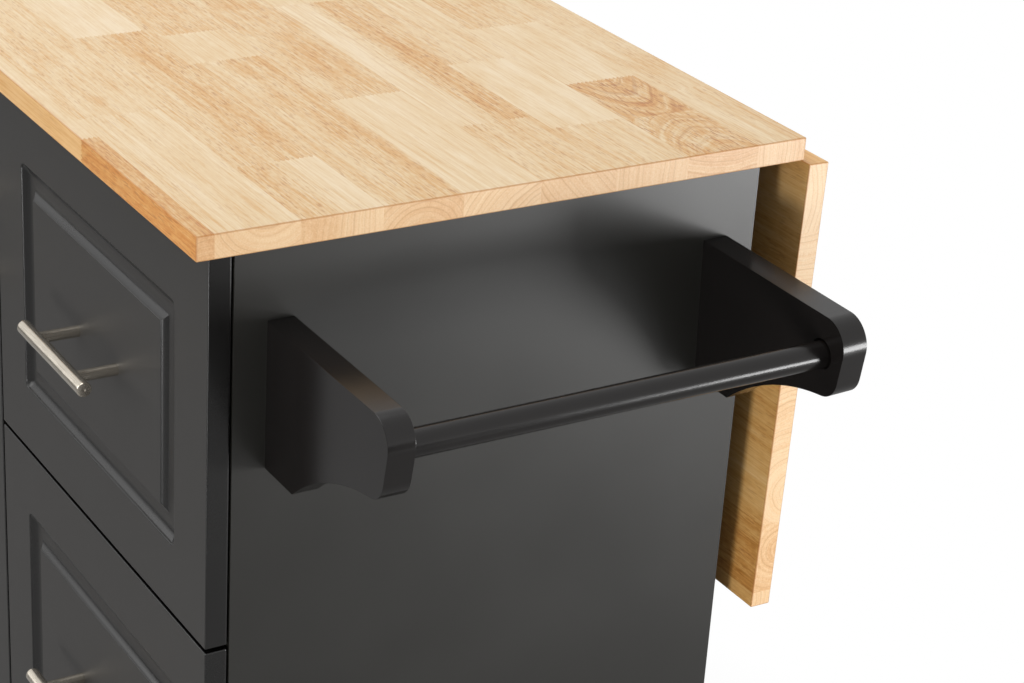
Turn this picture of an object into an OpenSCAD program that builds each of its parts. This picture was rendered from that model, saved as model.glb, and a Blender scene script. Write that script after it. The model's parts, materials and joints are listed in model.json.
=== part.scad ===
// Rolling kitchen island: three drawers, a cupboard, a towel bar and a drop leaf.
// The fronts face -Y, the towel bar is on the +X side and the leaf hangs at the back.
// The origin is on the floor, at the centre of the island's outer box.

/* [Worktop and leaf] */
// Thickness of the worktop and of the leaf
top_t = 16; // [12:0.5:30]
// How far the worktop reaches past each side panel
side_overhang = 12; // [9:1:40]
// How far the worktop reaches past the faces of the fronts
front_overhang = 13.5; // [5:0.5:40]
// How far the worktop reaches past the back of the cabinet
back_overhang = 26.5; // [24:0.5:60]
// Length of the leaf from its hinged edge to its free edge
leaf_drop = 335; // [330:5:420]
// Joint between the worktop and the raised leaf
leaf_gap = 0.6; // [0.4:0.1:1]
// How far past vertical the hanging leaf leans in, in degrees
leaf_lean = 1.1; // [0:0.1:1.4]
// How far the leaf stands to the right of the worktop
leaf_shift = 4; // [0:0.5:6]

/* [Cabinet] */
// Thickness of the cabinet boards
board_t = 16; // [15:0.5:20]
// Depth of the side panels
carcass_depth = 378; // [370:1:450]
// Thickness of the back panel
back_t = 9; // [6:0.5:12]
// Depth of each top rail
rail_depth = 80; // [50:5:110]
// How far the shelf stands back from the front edges of the side panels
shelf_setback = 20; // [10:1:60]
// Height of the shelf's underside above the bottom panel
shelf_height = 370; // [300:5:440]
// Gap at each end of the shelf
shelf_gap = 1; // [0.5:0.1:2]

/* [Fronts] */
// Number of drawers
drawer_count = 3; // [3:1:3]
// Width of a drawer front
drawer_front_w = 348; // [300:2:420]
// Height of a drawer front
drawer_front_h = 267; // [255:1:290]
// Width of the cupboard door
door_w = 397; // [340:1:480]
// Thickness of the fronts
front_t = 15; // [13:0.5:20]
// Gap between neighbouring fronts
front_gap = 3; // [2:0.5:4]
// Gap above and below the column of fronts
front_reveal = 2; // [1:0.5:4]
// Gap between the closed fronts and the cabinet
front_clear = 1.5; // [1.4:0.1:2]
// Width of the flat frame at the sides of the routed groove
stile_w = 47.5; // [30:0.5:60]
// Width of the flat frame above and below the routed groove
rail_w = 49; // [30:1:60]
// Width of the routed groove
groove_w = 21; // [12:1:26]
// Depth of the routed groove
groove_depth = 5; // [3:0.5:7]
// Depth of the square step at each edge of the groove
groove_step = 1; // [0.5:0.1:2]

/* [Drawers] */
// Height of a drawer's sides
drawer_side_h = 190; // [150:5:200]
// Space between a drawer's back and the back panel
drawer_back_gap = 20.5; // [15:0.5:40]
// Thickness of a drawer's sides and back
drawer_side_t = 12; // [10:0.5:15]
// Thickness of a drawer's bottom
drawer_bottom_t = 4; // [3:0.5:6]
// Height of a drawer's bottom above the lower edge of its sides
drawer_bottom_up = 10; // [6:1:15]
// Depth of the grooves that hold a drawer's bottom
drawer_groove = 6; // [4:0.5:8]
// Height of a drawer's sides above the lower edge of its front
drawer_up = 25; // [22:1:35]
// Space that a pair of runners takes beside a drawer
runner_w = 12.7; // [12:0.1:14]
// Distance from the front edges of the side panels to the runners
runner_setback = 3; // [2:0.5:10]
// Space between the runners' rear ends and the back panel
runner_back_gap = 26; // [21:1:50]
// Height of the outer runner channel
runner_h = 35; // [30:1:45]
// Thickness of the runners' steel
runner_t = 1.2; // [1:0.1:1.5]
// Height of the runners' middle above the lower edge of a drawer's sides
runner_up = 60; // [40:1:90]

/* [Handles] */
// Diameter of a handle's bar
handle_d = 10; // [8:0.5:14]
// Length of a handle's bar
handle_len = 104; // [90:1:140]
// Distance between a handle's posts
handle_pitch = 64; // [64:32:64]
// Chamfer at the ends of a handle's bar
handle_chamfer = 0.6; // [0.3:0.1:1.5]
// Diameter of a handle's posts
handle_post_d = 6; // [5:0.5:7]
// Distance from the front to the middle of the bar
handle_out = 30; // [24:1:40]
// How far the drawers' handles stand to the right of the middles of their fronts
handle_shift = 4.5; // [0:0.5:10]
// Distance from the door's free edge to its handle
door_handle_in = 32; // [22:1:38]
// Distance from the door's top edge to the middle of its handle
door_handle_down = 133; // [80:1:200]
// Diameter of a handle screw
handle_screw_d = 3.5; // [3:0.1:3.8]

/* [Towel bar] */
// How far a bracket reaches from the side panel
bracket_reach = 151; // [130:1:190]
// Height of a bracket at the side panel
bracket_h = 99; // [90:1:130]
// Thickness of a bracket
bracket_t = 18; // [16:0.5:24]
// Length of a bracket's flat foot
bracket_foot = 37; // [25:1:50]
// Radius of the nose's upper corner
nose_upper_r = 18; // [15:0.5:20]
// Radius of the nose's lower corner
nose_lower_r = 17; // [14:0.5:18]
// Height of the nose
nose_h = 54; // [50:1:60]
// How far the nose's lower corner stands back from its upper one
nose_back = 3.4; // [0:0.2:6]
// Radius of the hollow underside
underside_r = 185; // [150:5:260]
// Distance from the worktop down to the brackets
bracket_down = 50.5; // [20:0.5:70]
// Distance from each edge of the side panel to the nearer bracket
bracket_inset = 22; // [15:1:60]
// How far the rear bracket's foot leans back, in degrees
rear_bracket_lean = 2.1; // [0:0.1:3]
// Diameter of the towel bar
bar_d = 17.5; // [14:0.5:20]
// Clearance round the bar in its sockets
bar_clear = 0.1; // [0.05:0.01:0.1]
// Depth of the bar's sockets
socket_depth = 9; // [6:0.5:12]
// Width of the flare round a socket's mouth
socket_flare = 1.2; // [0.5:0.1:2]
// Distance from the side panel to the middle of the bar
bar_out = 129.5; // [120:0.5:131]
// Distance from the top of the brackets down to the middle of the bar
bar_down = 26.5; // [24:0.5:28]

/* [Leaf hinges and stays] */
// Length of a leaf hinge
leaf_hinge_len = 50; // [45:1:70]
// Width of a leaf hinge's flap under the worktop
top_flap_w = 24; // [22:1:24]
// Width of a leaf hinge's flap under the leaf
leaf_flap_w = 30; // [28:1:36]
// Thickness of the leaf hinges' plates
leaf_hinge_t = 1.5; // [1.2:0.1:2]
// Distance from the worktop's ends to the middles of the outer hinges
leaf_hinge_inset = 90; // [60:5:140]
// Radius of a hinge knuckle
knuckle_r = 3; // [2.8:0.1:3.2]
// Diameter of a hinge pin
pin_d = 3; // [2.4:0.1:3.2]
// Clearance round a hinge pin
pin_clear = 0.06; // [0.03:0.01:0.1]
// Distance from the worktop's middle to each stay
stay_spread = 200; // [150:5:240]
// Length of a stay between its pivot and the middle of its end
stay_len = 175; // [165:1:180]
// Width of a stay
stay_w = 16; // [14:1:16]
// Thickness of a stay
stay_t = 3; // [2:0.5:4]
// Distance from the back panel to a stay's pivot
stay_out = 11; // [11:0.5:13]
// Diameter of a stay's rivet
rivet_d = 6; // [4:0.5:7]

/* [Door hinges] */
// Height of a door hinge
door_hinge_h = 60; // [50:2:80]
// Thickness of the door hinges' plates
door_hinge_t = 1.2; // [1:0.1:1.2]
// Distance from the door's top and bottom edges to the outer hinges' middles
door_hinge_inset = 100; // [70:5:150]

/* [Casters] */
// Height from the floor to the cabinet
caster_h = 87; // [85:1:100]
// Diameter of a wheel
wheel_d = 63.5; // [55:0.5:66]
// Width of a wheel
wheel_w = 24; // [18:1:26]
// Side of the square top plate
caster_plate = 60; // [56:1:64]
// Thickness of the top plate
caster_plate_t = 2.5; // [2:0.1:3]
// How far the wheel trails behind the swivel
caster_trail = 18; // [14:1:20]
// Diameter of an axle
axle_d = 8; // [6:0.5:10]
// Thickness of a fork's steel
fork_t = 2.5; // [2:0.1:3]
// Distance from the cabinet's corners to the swivels, both ways
caster_inset = 45; // [42:1:80]

/* [Hidden] */
$fn = 48;

// Colours
oak_tan = "burlywood";
satin_black = [0.23, 0.23, 0.22];
gloss_black = [0.12, 0.12, 0.12];
box_board = [0.78, 0.72, 0.6];
nickel = [0.72, 0.7, 0.66];
zinc = [0.62, 0.63, 0.65];
wheel_black = [0.1, 0.1, 0.1];

// Clearance between pieces that move past each other
run_clear = 0.3;
// Clearance round fixed screws, rivets and axles
fix_clear = 0.05;
// How far a cutting solid passes the face that it cuts
over = 1;

// Cabinet sizes
body_w = door_w + front_gap + drawer_front_w;
column_h = drawer_count * drawer_front_h + (drawer_count - 1) * front_gap;
body_h = column_h + 2 * front_reveal;
body_z = caster_h;
body_top = body_z + body_h;
top_length = body_w + 2 * side_overhang;
bay_top = body_top - board_t;
bay_floor = body_z + board_t;

// Places across the island
island_length = side_overhang + body_w + bracket_reach;
top_left = -island_length / 2;
top_right = top_left + top_length;
top_mid = (top_left + top_right) / 2;
body_left = top_left + side_overhang;
body_right = body_left + body_w;
partition_mid = body_right - drawer_front_w - front_gap / 2;
bay_right = body_right - board_t;
bay_left = partition_mid + board_t / 2;
cupboard_left = body_left + board_t;
cupboard_right = partition_mid - board_t / 2;

// Places from front to back
handle_reach = handle_out + handle_d / 2;
leaf_reach = leaf_gap / 2 + (leaf_hinge_t + top_t) * cos(leaf_lean) - leaf_gap / 2 * sin(leaf_lean);
front_to_back = front_t + front_clear + carcass_depth + back_overhang + leaf_reach;
island_depth = max(handle_reach, front_overhang) + front_to_back;
face_y = island_depth / 2 - front_to_back;
front_back_y = face_y + front_t;
carcass_y = front_back_y + front_clear;
carcass_back = carcass_y + carcass_depth;
back_inner = carcass_back - back_t;
top_front = face_y - front_overhang;
top_back = carcass_back + back_overhang;
hinge_y = top_back + leaf_gap / 2;
hinge_z = body_top - leaf_hinge_t;

// Draws a block between two opposite corners.
module block(low, high) {
    translate(low) cube(high - low);
}

// Draws a cylinder along X from x0 to x1.
module rod_x(d, x0, x1) {
    translate([x0, 0, 0]) rotate([0, 90, 0]) cylinder(d = d, h = x1 - x0);
}

// Draws a cylinder along Y from y0 to y1.
module rod_y(d, y0, y1) {
    translate([0, y0, 0]) rotate([-90, 0, 0]) cylinder(d = d, h = y1 - y0);
}

// Points along an arc about c, with angles in degrees.
function arc(c, r, from, to, steps) =
    [for (i = [0:steps]) let (a = from + (to - from) * i / steps) c + r * [cos(a), sin(a)]];

// Draws a screw with its shank along +Z and its head below z = 0.
module screw(d, shank, head_d, head_t) {
    cylinder(d = d, h = shank);
    translate([0, 0, -head_t]) cylinder(d = head_d, h = head_t);
}

// Worktop and leaf boards

leaf_hinge_x = [for (i = [-1:1]) top_mid + i * (top_length / 2 - leaf_hinge_inset)];
hinge_screw_d = 3.2;
hinge_screw_len = 9;
hinge_screw_head = [6, 1.4];
hinge_hole_d = hinge_screw_d + 2 * fix_clear;
// Distance from a plate's edges to the middles of its screws
screw_edge = 9;
flap_screw_x = leaf_hinge_len / 2 - screw_edge;
// Distance by which the two outer screws lie nearer to the pin, on the leaf's flap
flap_stagger = 10;
notch_clear = 0.5;

// Width of the flap on one side of the pin: -1 is under the worktop and 1 under the leaf.
function flap_w(side) = side < 0 ? top_flap_w : leaf_flap_w;

// Places of a flap's screws: along the pin, and away from it.
function flap_screws(side) =
    let (far = flap_w(side) - screw_edge, near = side < 0 ? far : far - flap_stagger)
    [[-flap_screw_x, near], [0, far], [flap_screw_x, near]];

// Cuts the room for one hinge's knuckles, in the frame of the leaf's pin.
module knuckle_notch(x) {
    half = leaf_hinge_len / 2 + notch_clear;
    reach = knuckle_r + notch_clear;
    block([x - half, -reach, 0], [x + half, reach, knuckle_r + run_clear]);
}

// Places its children at each screw of the flaps on one side of the leaf's pin.
module at_flap_screws(side) {
    for (x = leaf_hinge_x, s = flap_screws(side)) translate([x + s[0], side * s[1], 0]) children();
}

// Places its children in the frame of the leaf's pin, with the worktop at -Y.
module at_pin() {
    translate([0, hinge_y, hinge_z]) children();
}

// Places its children on the hanging leaf, from the frame where it is raised.
module on_leaf() {
    at_pin() rotate([-90 - leaf_lean, 0, 0]) children();
}

// Drills the pilot holes for the flaps on one side of the leaf's pin.
module flap_pilots(side) {
    at_flap_screws(side) cylinder(d = hinge_hole_d, h = leaf_hinge_t + hinge_screw_len);
}

module worktop() {
    color(oak_tan)
    difference() {
        block([top_left, top_front, body_top], [top_right, top_back, body_top + top_t]);
        at_pin() for (x = leaf_hinge_x) knuckle_notch(x);
        at_pin() flap_pilots(-1);
    }
}

module drop_leaf() {
    color(oak_tan)
    on_leaf() difference() {
        block([top_left + leaf_shift, leaf_gap / 2, leaf_hinge_t],
            [top_right + leaf_shift, leaf_gap / 2 + leaf_drop, leaf_hinge_t + top_t]);
        for (x = leaf_hinge_x) knuckle_notch(x);
        flap_pilots(1);
        catch_pilots();
    }
}

// Leaf hinges

knuckles = 5;
knuckle_gap = 0.3;

// Draws one flap about its pin, with the knuckles listed in own.
module flap(side, own) {
    start = knuckle_r + run_clear;
    step = leaf_hinge_len / knuckles;
    half = leaf_hinge_len / 2;
    near = side < 0 ? -flap_w(side) : start;
    far = side < 0 ? -start : flap_w(side);
    difference() {
        union() {
            block([-half, near, 0], [half, far, leaf_hinge_t]);
            for (i = own) {
                x0 = -half + i * step + knuckle_gap / 2;
                x1 = x0 + step - knuckle_gap;
                rod_x(2 * knuckle_r, x0, x1);
                block([x0, min(0, side * start), 0], [x1, max(0, side * start), leaf_hinge_t]);
            }
        }
        rod_x(pin_d + 2 * pin_clear, -half - over, half + over);
        for (s = flap_screws(side)) translate([s[0], side * s[1], -over])
            cylinder(d = hinge_hole_d, h = leaf_hinge_t + 2 * over);
    }
}

module leaf_hinge_plates_fixed() {
    color(zinc)
    at_pin() for (x = leaf_hinge_x) translate([x, 0, 0]) flap(-1, [0, 2, 4]);
}

module leaf_hinge_plates_moving() {
    color(zinc)
    on_leaf() for (x = leaf_hinge_x) translate([x, 0, 0]) flap(1, [1, 3]);
}

module leaf_hinge_pins() {
    half = leaf_hinge_len / 2;
    color(zinc)
    at_pin() for (x = leaf_hinge_x) rod_x(pin_d, x - half, x + half);
}

// Draws a screw of the leaf hinges.
module hinge_screw() {
    screw(hinge_screw_d, leaf_hinge_t + hinge_screw_len, hinge_screw_head[0], hinge_screw_head[1]);
}

// Stays that hold the raised leaf

stay_x = [top_mid - stay_spread, top_mid + stay_spread];
stay_y = carcass_back + stay_out;
stay_open = 135;
catch_t = 1.5;
catch_ridge = 1.5;
catch_size = [26, 30];
catch_ridge_w = 4;
stay_reach = stay_len * sin(stay_open);
// The open stay's round end lies just under its catch on the level leaf.
stay_end_z = hinge_z + leaf_hinge_t - catch_t - run_clear - stay_w / 2;
stay_z = stay_end_z + stay_len * cos(stay_open);
stay_end_out = stay_y + stay_reach - hinge_y;
ear_t = 2;
ear_gap = stay_t / 2 + run_clear;
stay_plate = [34, 46];
plate_edge = 6;
// How far the ears' round ends stand back from a stay's edges
ear_margin = 1;
rivet_head = [10, 2];
// Diameter and length of a small screw's shank, and of its head
small_screw = [2.8, 7];
small_head = [5.4, 1.2];
small_hole_d = small_screw[0] + 2 * fix_clear;

module stay_struts() {
    color(zinc)
    at_stays() difference() {
        union() {
            rod_x(stay_w, -stay_t / 2, stay_t / 2);
            translate([0, 0, -stay_len]) rod_x(stay_w, -stay_t / 2, stay_t / 2);
            block([-stay_t / 2, -stay_w / 2, -stay_len], [stay_t / 2, stay_w / 2, 0]);
        }
        rod_x(rivet_d + 2 * pin_clear, -stay_t, stay_t);
    }
}

// Draws one wall bracket: a plate on the back panel with two ears for the rivet.
module stay_bracket() {
    ear_r = stay_w / 2 - ear_margin;
    difference() {
        union() {
            block([-stay_plate[0] / 2, -stay_out, -stay_plate[1] / 2],
                [stay_plate[0] / 2, -stay_out + ear_t, stay_plate[1] / 2]);
            for (side = [-1, 1]) {
                inner = side * ear_gap;
                outer = side * (ear_gap + ear_t);
                rod_x(2 * ear_r, min(inner, outer), max(inner, outer));
                block([min(inner, outer), -stay_out, -ear_r], [max(inner, outer), 0, ear_r]);
            }
        }
        rod_x(rivet_d + 2 * fix_clear, -stay_plate[0], stay_plate[0]);
        at_bracket_plate_screws() rod_y(small_hole_d, -over, ear_t + over);
    }
}

// Places its children at a stay bracket's four screws, on the back panel's outer face.
module at_bracket_plate_screws() {
    reach_x = stay_plate[0] / 2 - plate_edge;
    reach_z = stay_plate[1] / 2 - plate_edge;
    for (x = [-reach_x, reach_x], z = [-reach_z, reach_z]) translate([x, -stay_out, z]) children();
}

// Places its children at the pivot of each stay.
module at_stays() {
    for (x = stay_x) translate([x, stay_y, stay_z]) children();
}

module stay_brackets() {
    color(zinc)
    at_stays() stay_bracket();
}

module stay_rivets() {
    color(nickel)
    at_stays() {
        half = ear_gap + ear_t;
        rod_x(rivet_d, -half, half);
        rod_x(rivet_head[0], -half - rivet_head[1], -half);
        rod_x(rivet_head[0], half, half + rivet_head[1]);
    }
}

// Places its children at the middle of each catch, on the underside of the raised leaf.
module at_catches() {
    for (x = stay_x) translate([x, stay_end_out, leaf_hinge_t]) children();
}

// Places its children at each catch's two screws, on the catch's lower face.
module at_catch_screws() {
    reach = catch_size[0] / 2 - small_head[0];
    at_catches() for (x = [-reach, reach]) translate([x, 0, -catch_t]) children();
}

module catch_pilots() {
    at_catch_screws() cylinder(d = small_hole_d, h = catch_t + small_screw[1]);
}

// The catches: thin plates with a low ridge that the stays' ends drop behind.
module stay_catches() {
    color(zinc)
    on_leaf() difference() {
        at_catches() {
            w = catch_size[0] / 2;
            ridge = stay_w / 2 + run_clear + catch_ridge_w / 2;
            block([-w, -catch_size[1] / 2, -catch_t], [w, ridge + catch_ridge_w / 2, 0]);
            block([-w, ridge, -catch_t - catch_ridge], [w, ridge + catch_ridge_w / 2, 0]);
        }
        at_catch_screws() translate([0, 0, -over]) cylinder(d = small_hole_d, h = catch_t + 2 * over);
    }
}

// The screws of the hinge flaps and catches on the leaf.
module leaf_screws() {
    color(zinc)
    on_leaf() {
        at_flap_screws(1) hinge_screw();
        at_catch_screws() screw(small_screw[0], catch_t + small_screw[1], small_head[0], small_head[1]);
    }
}

// Cabinet boards

pin_hole_d = 5;
pin_hole_deep = 9;
shelf_pin_out = 8;
shelf_y0 = carcass_y + shelf_setback;
shelf_y1 = back_inner - shelf_gap;
shelf_z = bay_floor + shelf_height;
shelf_pin_inset = 40;
shelf_pin_y = [shelf_y0 + shelf_pin_inset, shelf_y1 - shelf_pin_inset];
// Rows of shelf pin holes, as steps above and below the shelf
pin_rows = [-64, -32, 0, 32, 64];
bracket_screw_d = 5;
bracket_screw_head = [8, 1.5];
bracket_screw_grip = 25;
// Distances of a bracket's two screws from its top and from its bottom
bracket_screw_in = [28, 22];
bracket_screw_down = [bracket_screw_in[0], bracket_h - bracket_screw_in[1]];
bracket_y = [carcass_y + bracket_inset, carcass_back - bracket_inset - bracket_t];
bracket_top = body_top - bracket_down;
bracket_lean = [0, rear_bracket_lean];

// Places its children at bracket i's front upper corner on the side panel, leaned as it is.
module at_bracket(i) {
    translate([body_right, bracket_y[i], bracket_top]) rotate([bracket_lean[i], 0, 0]) children();
}

// Places its children at each bracket screw, on the side panel's outer face.
module at_bracket_screws() {
    for (i = [0, 1], d = bracket_screw_down) at_bracket(i) translate([0, bracket_t / 2, -d]) children();
}

// Drills a board's rows of shelf pin holes from the face at x, towards side.
module pin_holes(x, side) {
    for (y = shelf_pin_y, row = pin_rows)
        translate([x, y, shelf_z - pin_hole_d / 2 + row]) {
            d = pin_hole_d + 2 * fix_clear;
            deep = side * pin_hole_deep;
            rod_x(d, min(deep, -side * over), max(deep, -side * over));
        }
}

module side_panel_right() {
    color(satin_black)
    difference() {
        block([bay_right, carcass_y, body_z], [body_right, carcass_back, body_top]);
        at_bracket_screws() rod_x(bracket_screw_d + 2 * fix_clear, -board_t - over, over);
    }
}

module side_panel_left() {
    color(satin_black)
    difference() {
        block([body_left, carcass_y, body_z], [cupboard_left, carcass_back, body_top]);
        pin_holes(cupboard_left, -1);
        at_door_hinges() at_fixed_screws() rod_y(hinge_hole_d, 0, door_screw_len);
    }
}

module partition() {
    color(satin_black)
    difference() {
        block([cupboard_right, carcass_y, bay_floor], [bay_left, back_inner, bay_top]);
        pin_holes(cupboard_right, 1);
    }
}

module bottom_panel() {
    color(satin_black)
    difference() {
        block([cupboard_left, carcass_y, body_z], [bay_right, back_inner, bay_floor]);
        at_casters() at_caster_screws() caster_pilot();
    }
}

module back_panel() {
    color(satin_black)
    difference() {
        block([cupboard_left, back_inner, body_z], [bay_right, carcass_back, body_top]);
        at_stays() at_bracket_plate_screws() rod_y(small_hole_d, -small_screw[1], over);
    }
}

module top_rails() {
    color(satin_black) {
        block([cupboard_left, carcass_y, bay_top], [bay_right, carcass_y + rail_depth, body_top]);
        block([cupboard_left, back_inner - rail_depth, bay_top], [bay_right, back_inner, body_top]);
    }
}

module shelf() {
    color(satin_black)
    block([cupboard_left + shelf_gap, shelf_y0, shelf_z],
        [cupboard_right - shelf_gap, shelf_y1, shelf_z + board_t]);
}

module shelf_pins() {
    color(nickel)
    for (y = shelf_pin_y) translate([0, y, shelf_z - pin_hole_d / 2]) {
        rod_x(pin_hole_d, cupboard_left - pin_hole_deep + shelf_gap, cupboard_left + shelf_pin_out);
        rod_x(pin_hole_d, cupboard_right - shelf_pin_out, cupboard_right + pin_hole_deep - shelf_gap);
    }
}

// Towel bar and its brackets

upper_nose = [bracket_reach - nose_upper_r, -nose_upper_r];
lower_nose = [bracket_reach - nose_back - nose_lower_r, -nose_h + nose_lower_r];
foot_tip = [bracket_foot, -bracket_h];

// Centre of the circle of radius ra about a that also passes at rb from b, below both.
function below_both(a, ra, b, rb) =
    let (
        gap = norm(b - a),
        along = (b - a) / gap,
        across = [along[1], -along[0]],
        run = (ra * ra - rb * rb + gap * gap) / (2 * gap)
    ) a + run * along + sqrt(ra * ra - run * run) * across;

underside = below_both(foot_tip, underside_r, lower_nose, underside_r + nose_lower_r);

// Angle in degrees of the direction from a to b.
function heading(a, b) = atan2(b[1] - a[1], b[0] - a[0]);

// Angle at which one line touches both nose circles on their outer side.
nose_span = lower_nose - upper_nose;
nose_touch = heading(upper_nose, lower_nose) + acos((nose_upper_r - nose_lower_r) / norm(nose_span));
blend = heading(lower_nose, underside);

// Outline of a bracket, from its top corner at the side panel.
bracket_outline = concat(
    [[0, 0]],
    arc(upper_nose, nose_upper_r, 90, nose_touch, 24),
    arc(lower_nose, nose_lower_r, nose_touch, blend, 24),
    arc(underside, underside_r, heading(underside, lower_nose), heading(underside, foot_tip), 24),
    [[0, -bracket_h]]
);

// Cuts a socket that opens towards +Y, with a flared mouth.
module socket() {
    d = bar_d + 2 * bar_clear;
    rod_y(d, -socket_depth, over);
    translate([0, -socket_flare, 0]) rotate([-90, 0, 0])
        cylinder(d1 = d, d2 = d + 2 * (socket_flare + over), h = socket_flare + over);
}

// Where the bar enters each bracket
socket_y = [bracket_y[0] + bracket_t, bracket_y[1] + bar_down * tan(rear_bracket_lean)];

// Places its children on the bar's axis, at y = 0.
module at_bar() {
    translate([body_right + bar_out, 0, bracket_top - bar_down]) children();
}

// Draws bracket i, with its socket turned to the other bracket.
module towel_bracket(i) {
    color(gloss_black)
    difference() {
        at_bracket(i) translate([0, bracket_t, 0]) rotate([90, 0, 0])
            linear_extrude(bracket_t) polygon(bracket_outline);
        at_bracket_screws() rod_x(bracket_screw_d + 2 * fix_clear, -over, bracket_screw_grip);
        at_bar() translate([0, socket_y[i], 0]) mirror([0, i, 0]) socket();
    }
}

module towel_bar() {
    bar_in = socket_depth - run_clear;
    color(gloss_black)
    at_bar() rod_y(bar_d, socket_y[0] - bar_in, socket_y[1] + bar_in);
}

module towel_bracket_screws() {
    color(zinc)
    at_bracket_screws() {
        rod_x(bracket_screw_d, -board_t, bracket_screw_grip - over);
        rod_x(bracket_screw_head[0], -board_t - bracket_screw_head[1], -board_t);
    }
}

// Fronts

groove_arc_r = (pow(groove_w / 2 - groove_step, 2) + pow(groove_depth - groove_step, 2))
    / (2 * (groove_depth - groove_step));
groove_half_angle = asin((groove_w / 2 - groove_step) / groove_arc_r);
// Section of the routed groove: across it, and into the front
groove_outline = concat(
    [[0, -over], [0, groove_step]],
    arc([groove_w / 2, groove_depth - groove_arc_r], groove_arc_r,
        90 + groove_half_angle, 90 - groove_half_angle, 10),
    [[groove_w, groove_step], [groove_w, -over]]
);

// How far the sides of a groove pass each other at their mitres
mitre_lap = 0.02;

// Cuts one side of the groove, l long at its outer edge, with mitred ends.
module groove_side(l) {
    lap = mitre_lap;
    intersection() {
        translate([-lap, 0, 0]) rotate([90, 0, 90]) linear_extrude(l + 2 * lap)
            polygon([for (p = groove_outline) [p[1], p[0]]]);
        translate([0, front_t, 0]) rotate([90, 0, 0]) linear_extrude(front_t + 2 * over)
            polygon([[-lap, 0], [l + lap, 0], [l - groove_w + lap, groove_w], [groove_w - lap, groove_w]]);
    }
}

// Draws a front of width w and height h from its lower left corner, with its routed ring.
module routed_front(w, h) {
    ring_w = w - 2 * stile_w;
    ring_h = h - 2 * rail_w;
    difference() {
        cube([w, front_t, h]);
        translate([stile_w, 0, rail_w]) groove_side(ring_w);
        translate([w - stile_w, 0, rail_w]) rotate([0, -90, 0]) groove_side(ring_h);
        translate([w - stile_w, 0, h - rail_w]) rotate([0, 180, 0]) groove_side(ring_w);
        translate([stile_w, 0, h - rail_w]) rotate([0, 90, 0]) groove_side(ring_h);
    }
}

handle_hole_d = handle_screw_d + 2 * fix_clear;
handle_grip = 8;
handle_head = [7, 2];

// Draws a bar of length l along X, centred, with chamfered ends.
module chamfered_bar(d, l, chamfer) {
    half = l / 2 - chamfer;
    rod_x(d, -half, half);
    for (side = [0, 1]) mirror([side, 0, 0]) translate([half, 0, 0]) rotate([0, 90, 0])
        cylinder(d1 = d, d2 = d - 2 * chamfer, h = chamfer);
}

// Draws a bar handle along X, standing on y = 0 at its middle, with its two screws.
module handle() {
    half = handle_pitch / 2;
    color(nickel) {
        difference() {
            union() {
                translate([0, -handle_out, 0]) chamfered_bar(handle_d, handle_len, handle_chamfer);
                for (x = [-half, half]) translate([x, 0, 0]) rod_y(handle_post_d, -handle_out, 0);
            }
            for (x = [-half, half]) translate([x, 0, 0]) rod_y(handle_hole_d, -handle_grip, over);
        }
        for (x = [-half, half]) translate([x, 0, 0]) {
            rod_y(handle_screw_d, -handle_grip + over, front_t);
            rod_y(handle_head[0], front_t, front_t + handle_head[1]);
        }
    }
}

// Drills the two holes of a handle through a front.
module handle_holes() {
    for (x = [-1, 1]) translate([x * handle_pitch / 2, 0, 0]) rod_y(handle_hole_d, -over, front_t + over);
}

// Drawers, counted from the lowest

drawer_pitch = drawer_front_h + front_gap;
box_left = bay_left + runner_w;
box_right = bay_right - runner_w;
box_back = back_inner - drawer_back_gap;
runner_y = carcass_y + runner_setback;
runner_len = back_inner - runner_back_gap - runner_y;
inner_h = runner_h - 2 * runner_t - 2 * run_clear;
channel_depth = runner_w - runner_t - run_clear;

// Lower edge of drawer i's front.
function front_z(i) = body_z + front_reveal + i * drawer_pitch;
// Lower edge of drawer i's sides.
function side_z(i) = front_z(i) + drawer_up;

// Places its children at the middle of drawer i's handle, on the front's face.
module at_drawer_handle(i) {
    translate([body_right - drawer_front_w / 2 + handle_shift, face_y, front_z(i) + drawer_front_h / 2])
        children();
}

module drawer_front(i) {
    color(satin_black)
    difference() {
        translate([body_right - drawer_front_w, face_y, front_z(i)])
            routed_front(drawer_front_w, drawer_front_h);
        at_drawer_handle(i) handle_holes();
    }
}

module drawer_handle(i) {
    at_drawer_handle(i) handle();
}

// Draws drawer i's two sides and its back, which stands on the bottom.
module drawer_box(i) {
    z = side_z(i);
    floor_top = z + drawer_bottom_up + drawer_bottom_t;
    color(box_board) {
        for (x = [box_left, box_right - drawer_side_t]) difference() {
            block([x, front_back_y, z], [x + drawer_side_t, box_back, z + drawer_side_h]);
            block([box_left + drawer_side_t - drawer_groove, front_back_y - over, z + drawer_bottom_up],
                [box_right - drawer_side_t + drawer_groove, box_back + over, floor_top]);
        }
        block([box_left + drawer_side_t, box_back - drawer_side_t, floor_top],
            [box_right - drawer_side_t, box_back, z + drawer_side_h]);
    }
}

module drawer_bottom(i) {
    z = side_z(i) + drawer_bottom_up;
    inset = drawer_side_t - drawer_groove;
    color(box_board)
    block([box_left + inset, front_back_y, z], [box_right - inset, box_back, z + drawer_bottom_t]);
}

// Draws a steel channel along Y: h high, opening towards +X, with its back at x = 0.
module channel(h) {
    translate([0, 0, -h / 2]) difference() {
        cube([channel_depth, runner_len, h]);
        translate([runner_t, -over, runner_t]) cube([channel_depth, runner_len + 2 * over, h - 2 * runner_t]);
    }
}

module cabinet_runners() {
    color(zinc)
    for (i = [0:drawer_count - 1]) {
        z = side_z(i) + runner_up;
        translate([bay_left, runner_y, z]) channel(runner_h);
        translate([bay_right, runner_y, z]) mirror([1, 0, 0]) channel(runner_h);
    }
}

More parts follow.
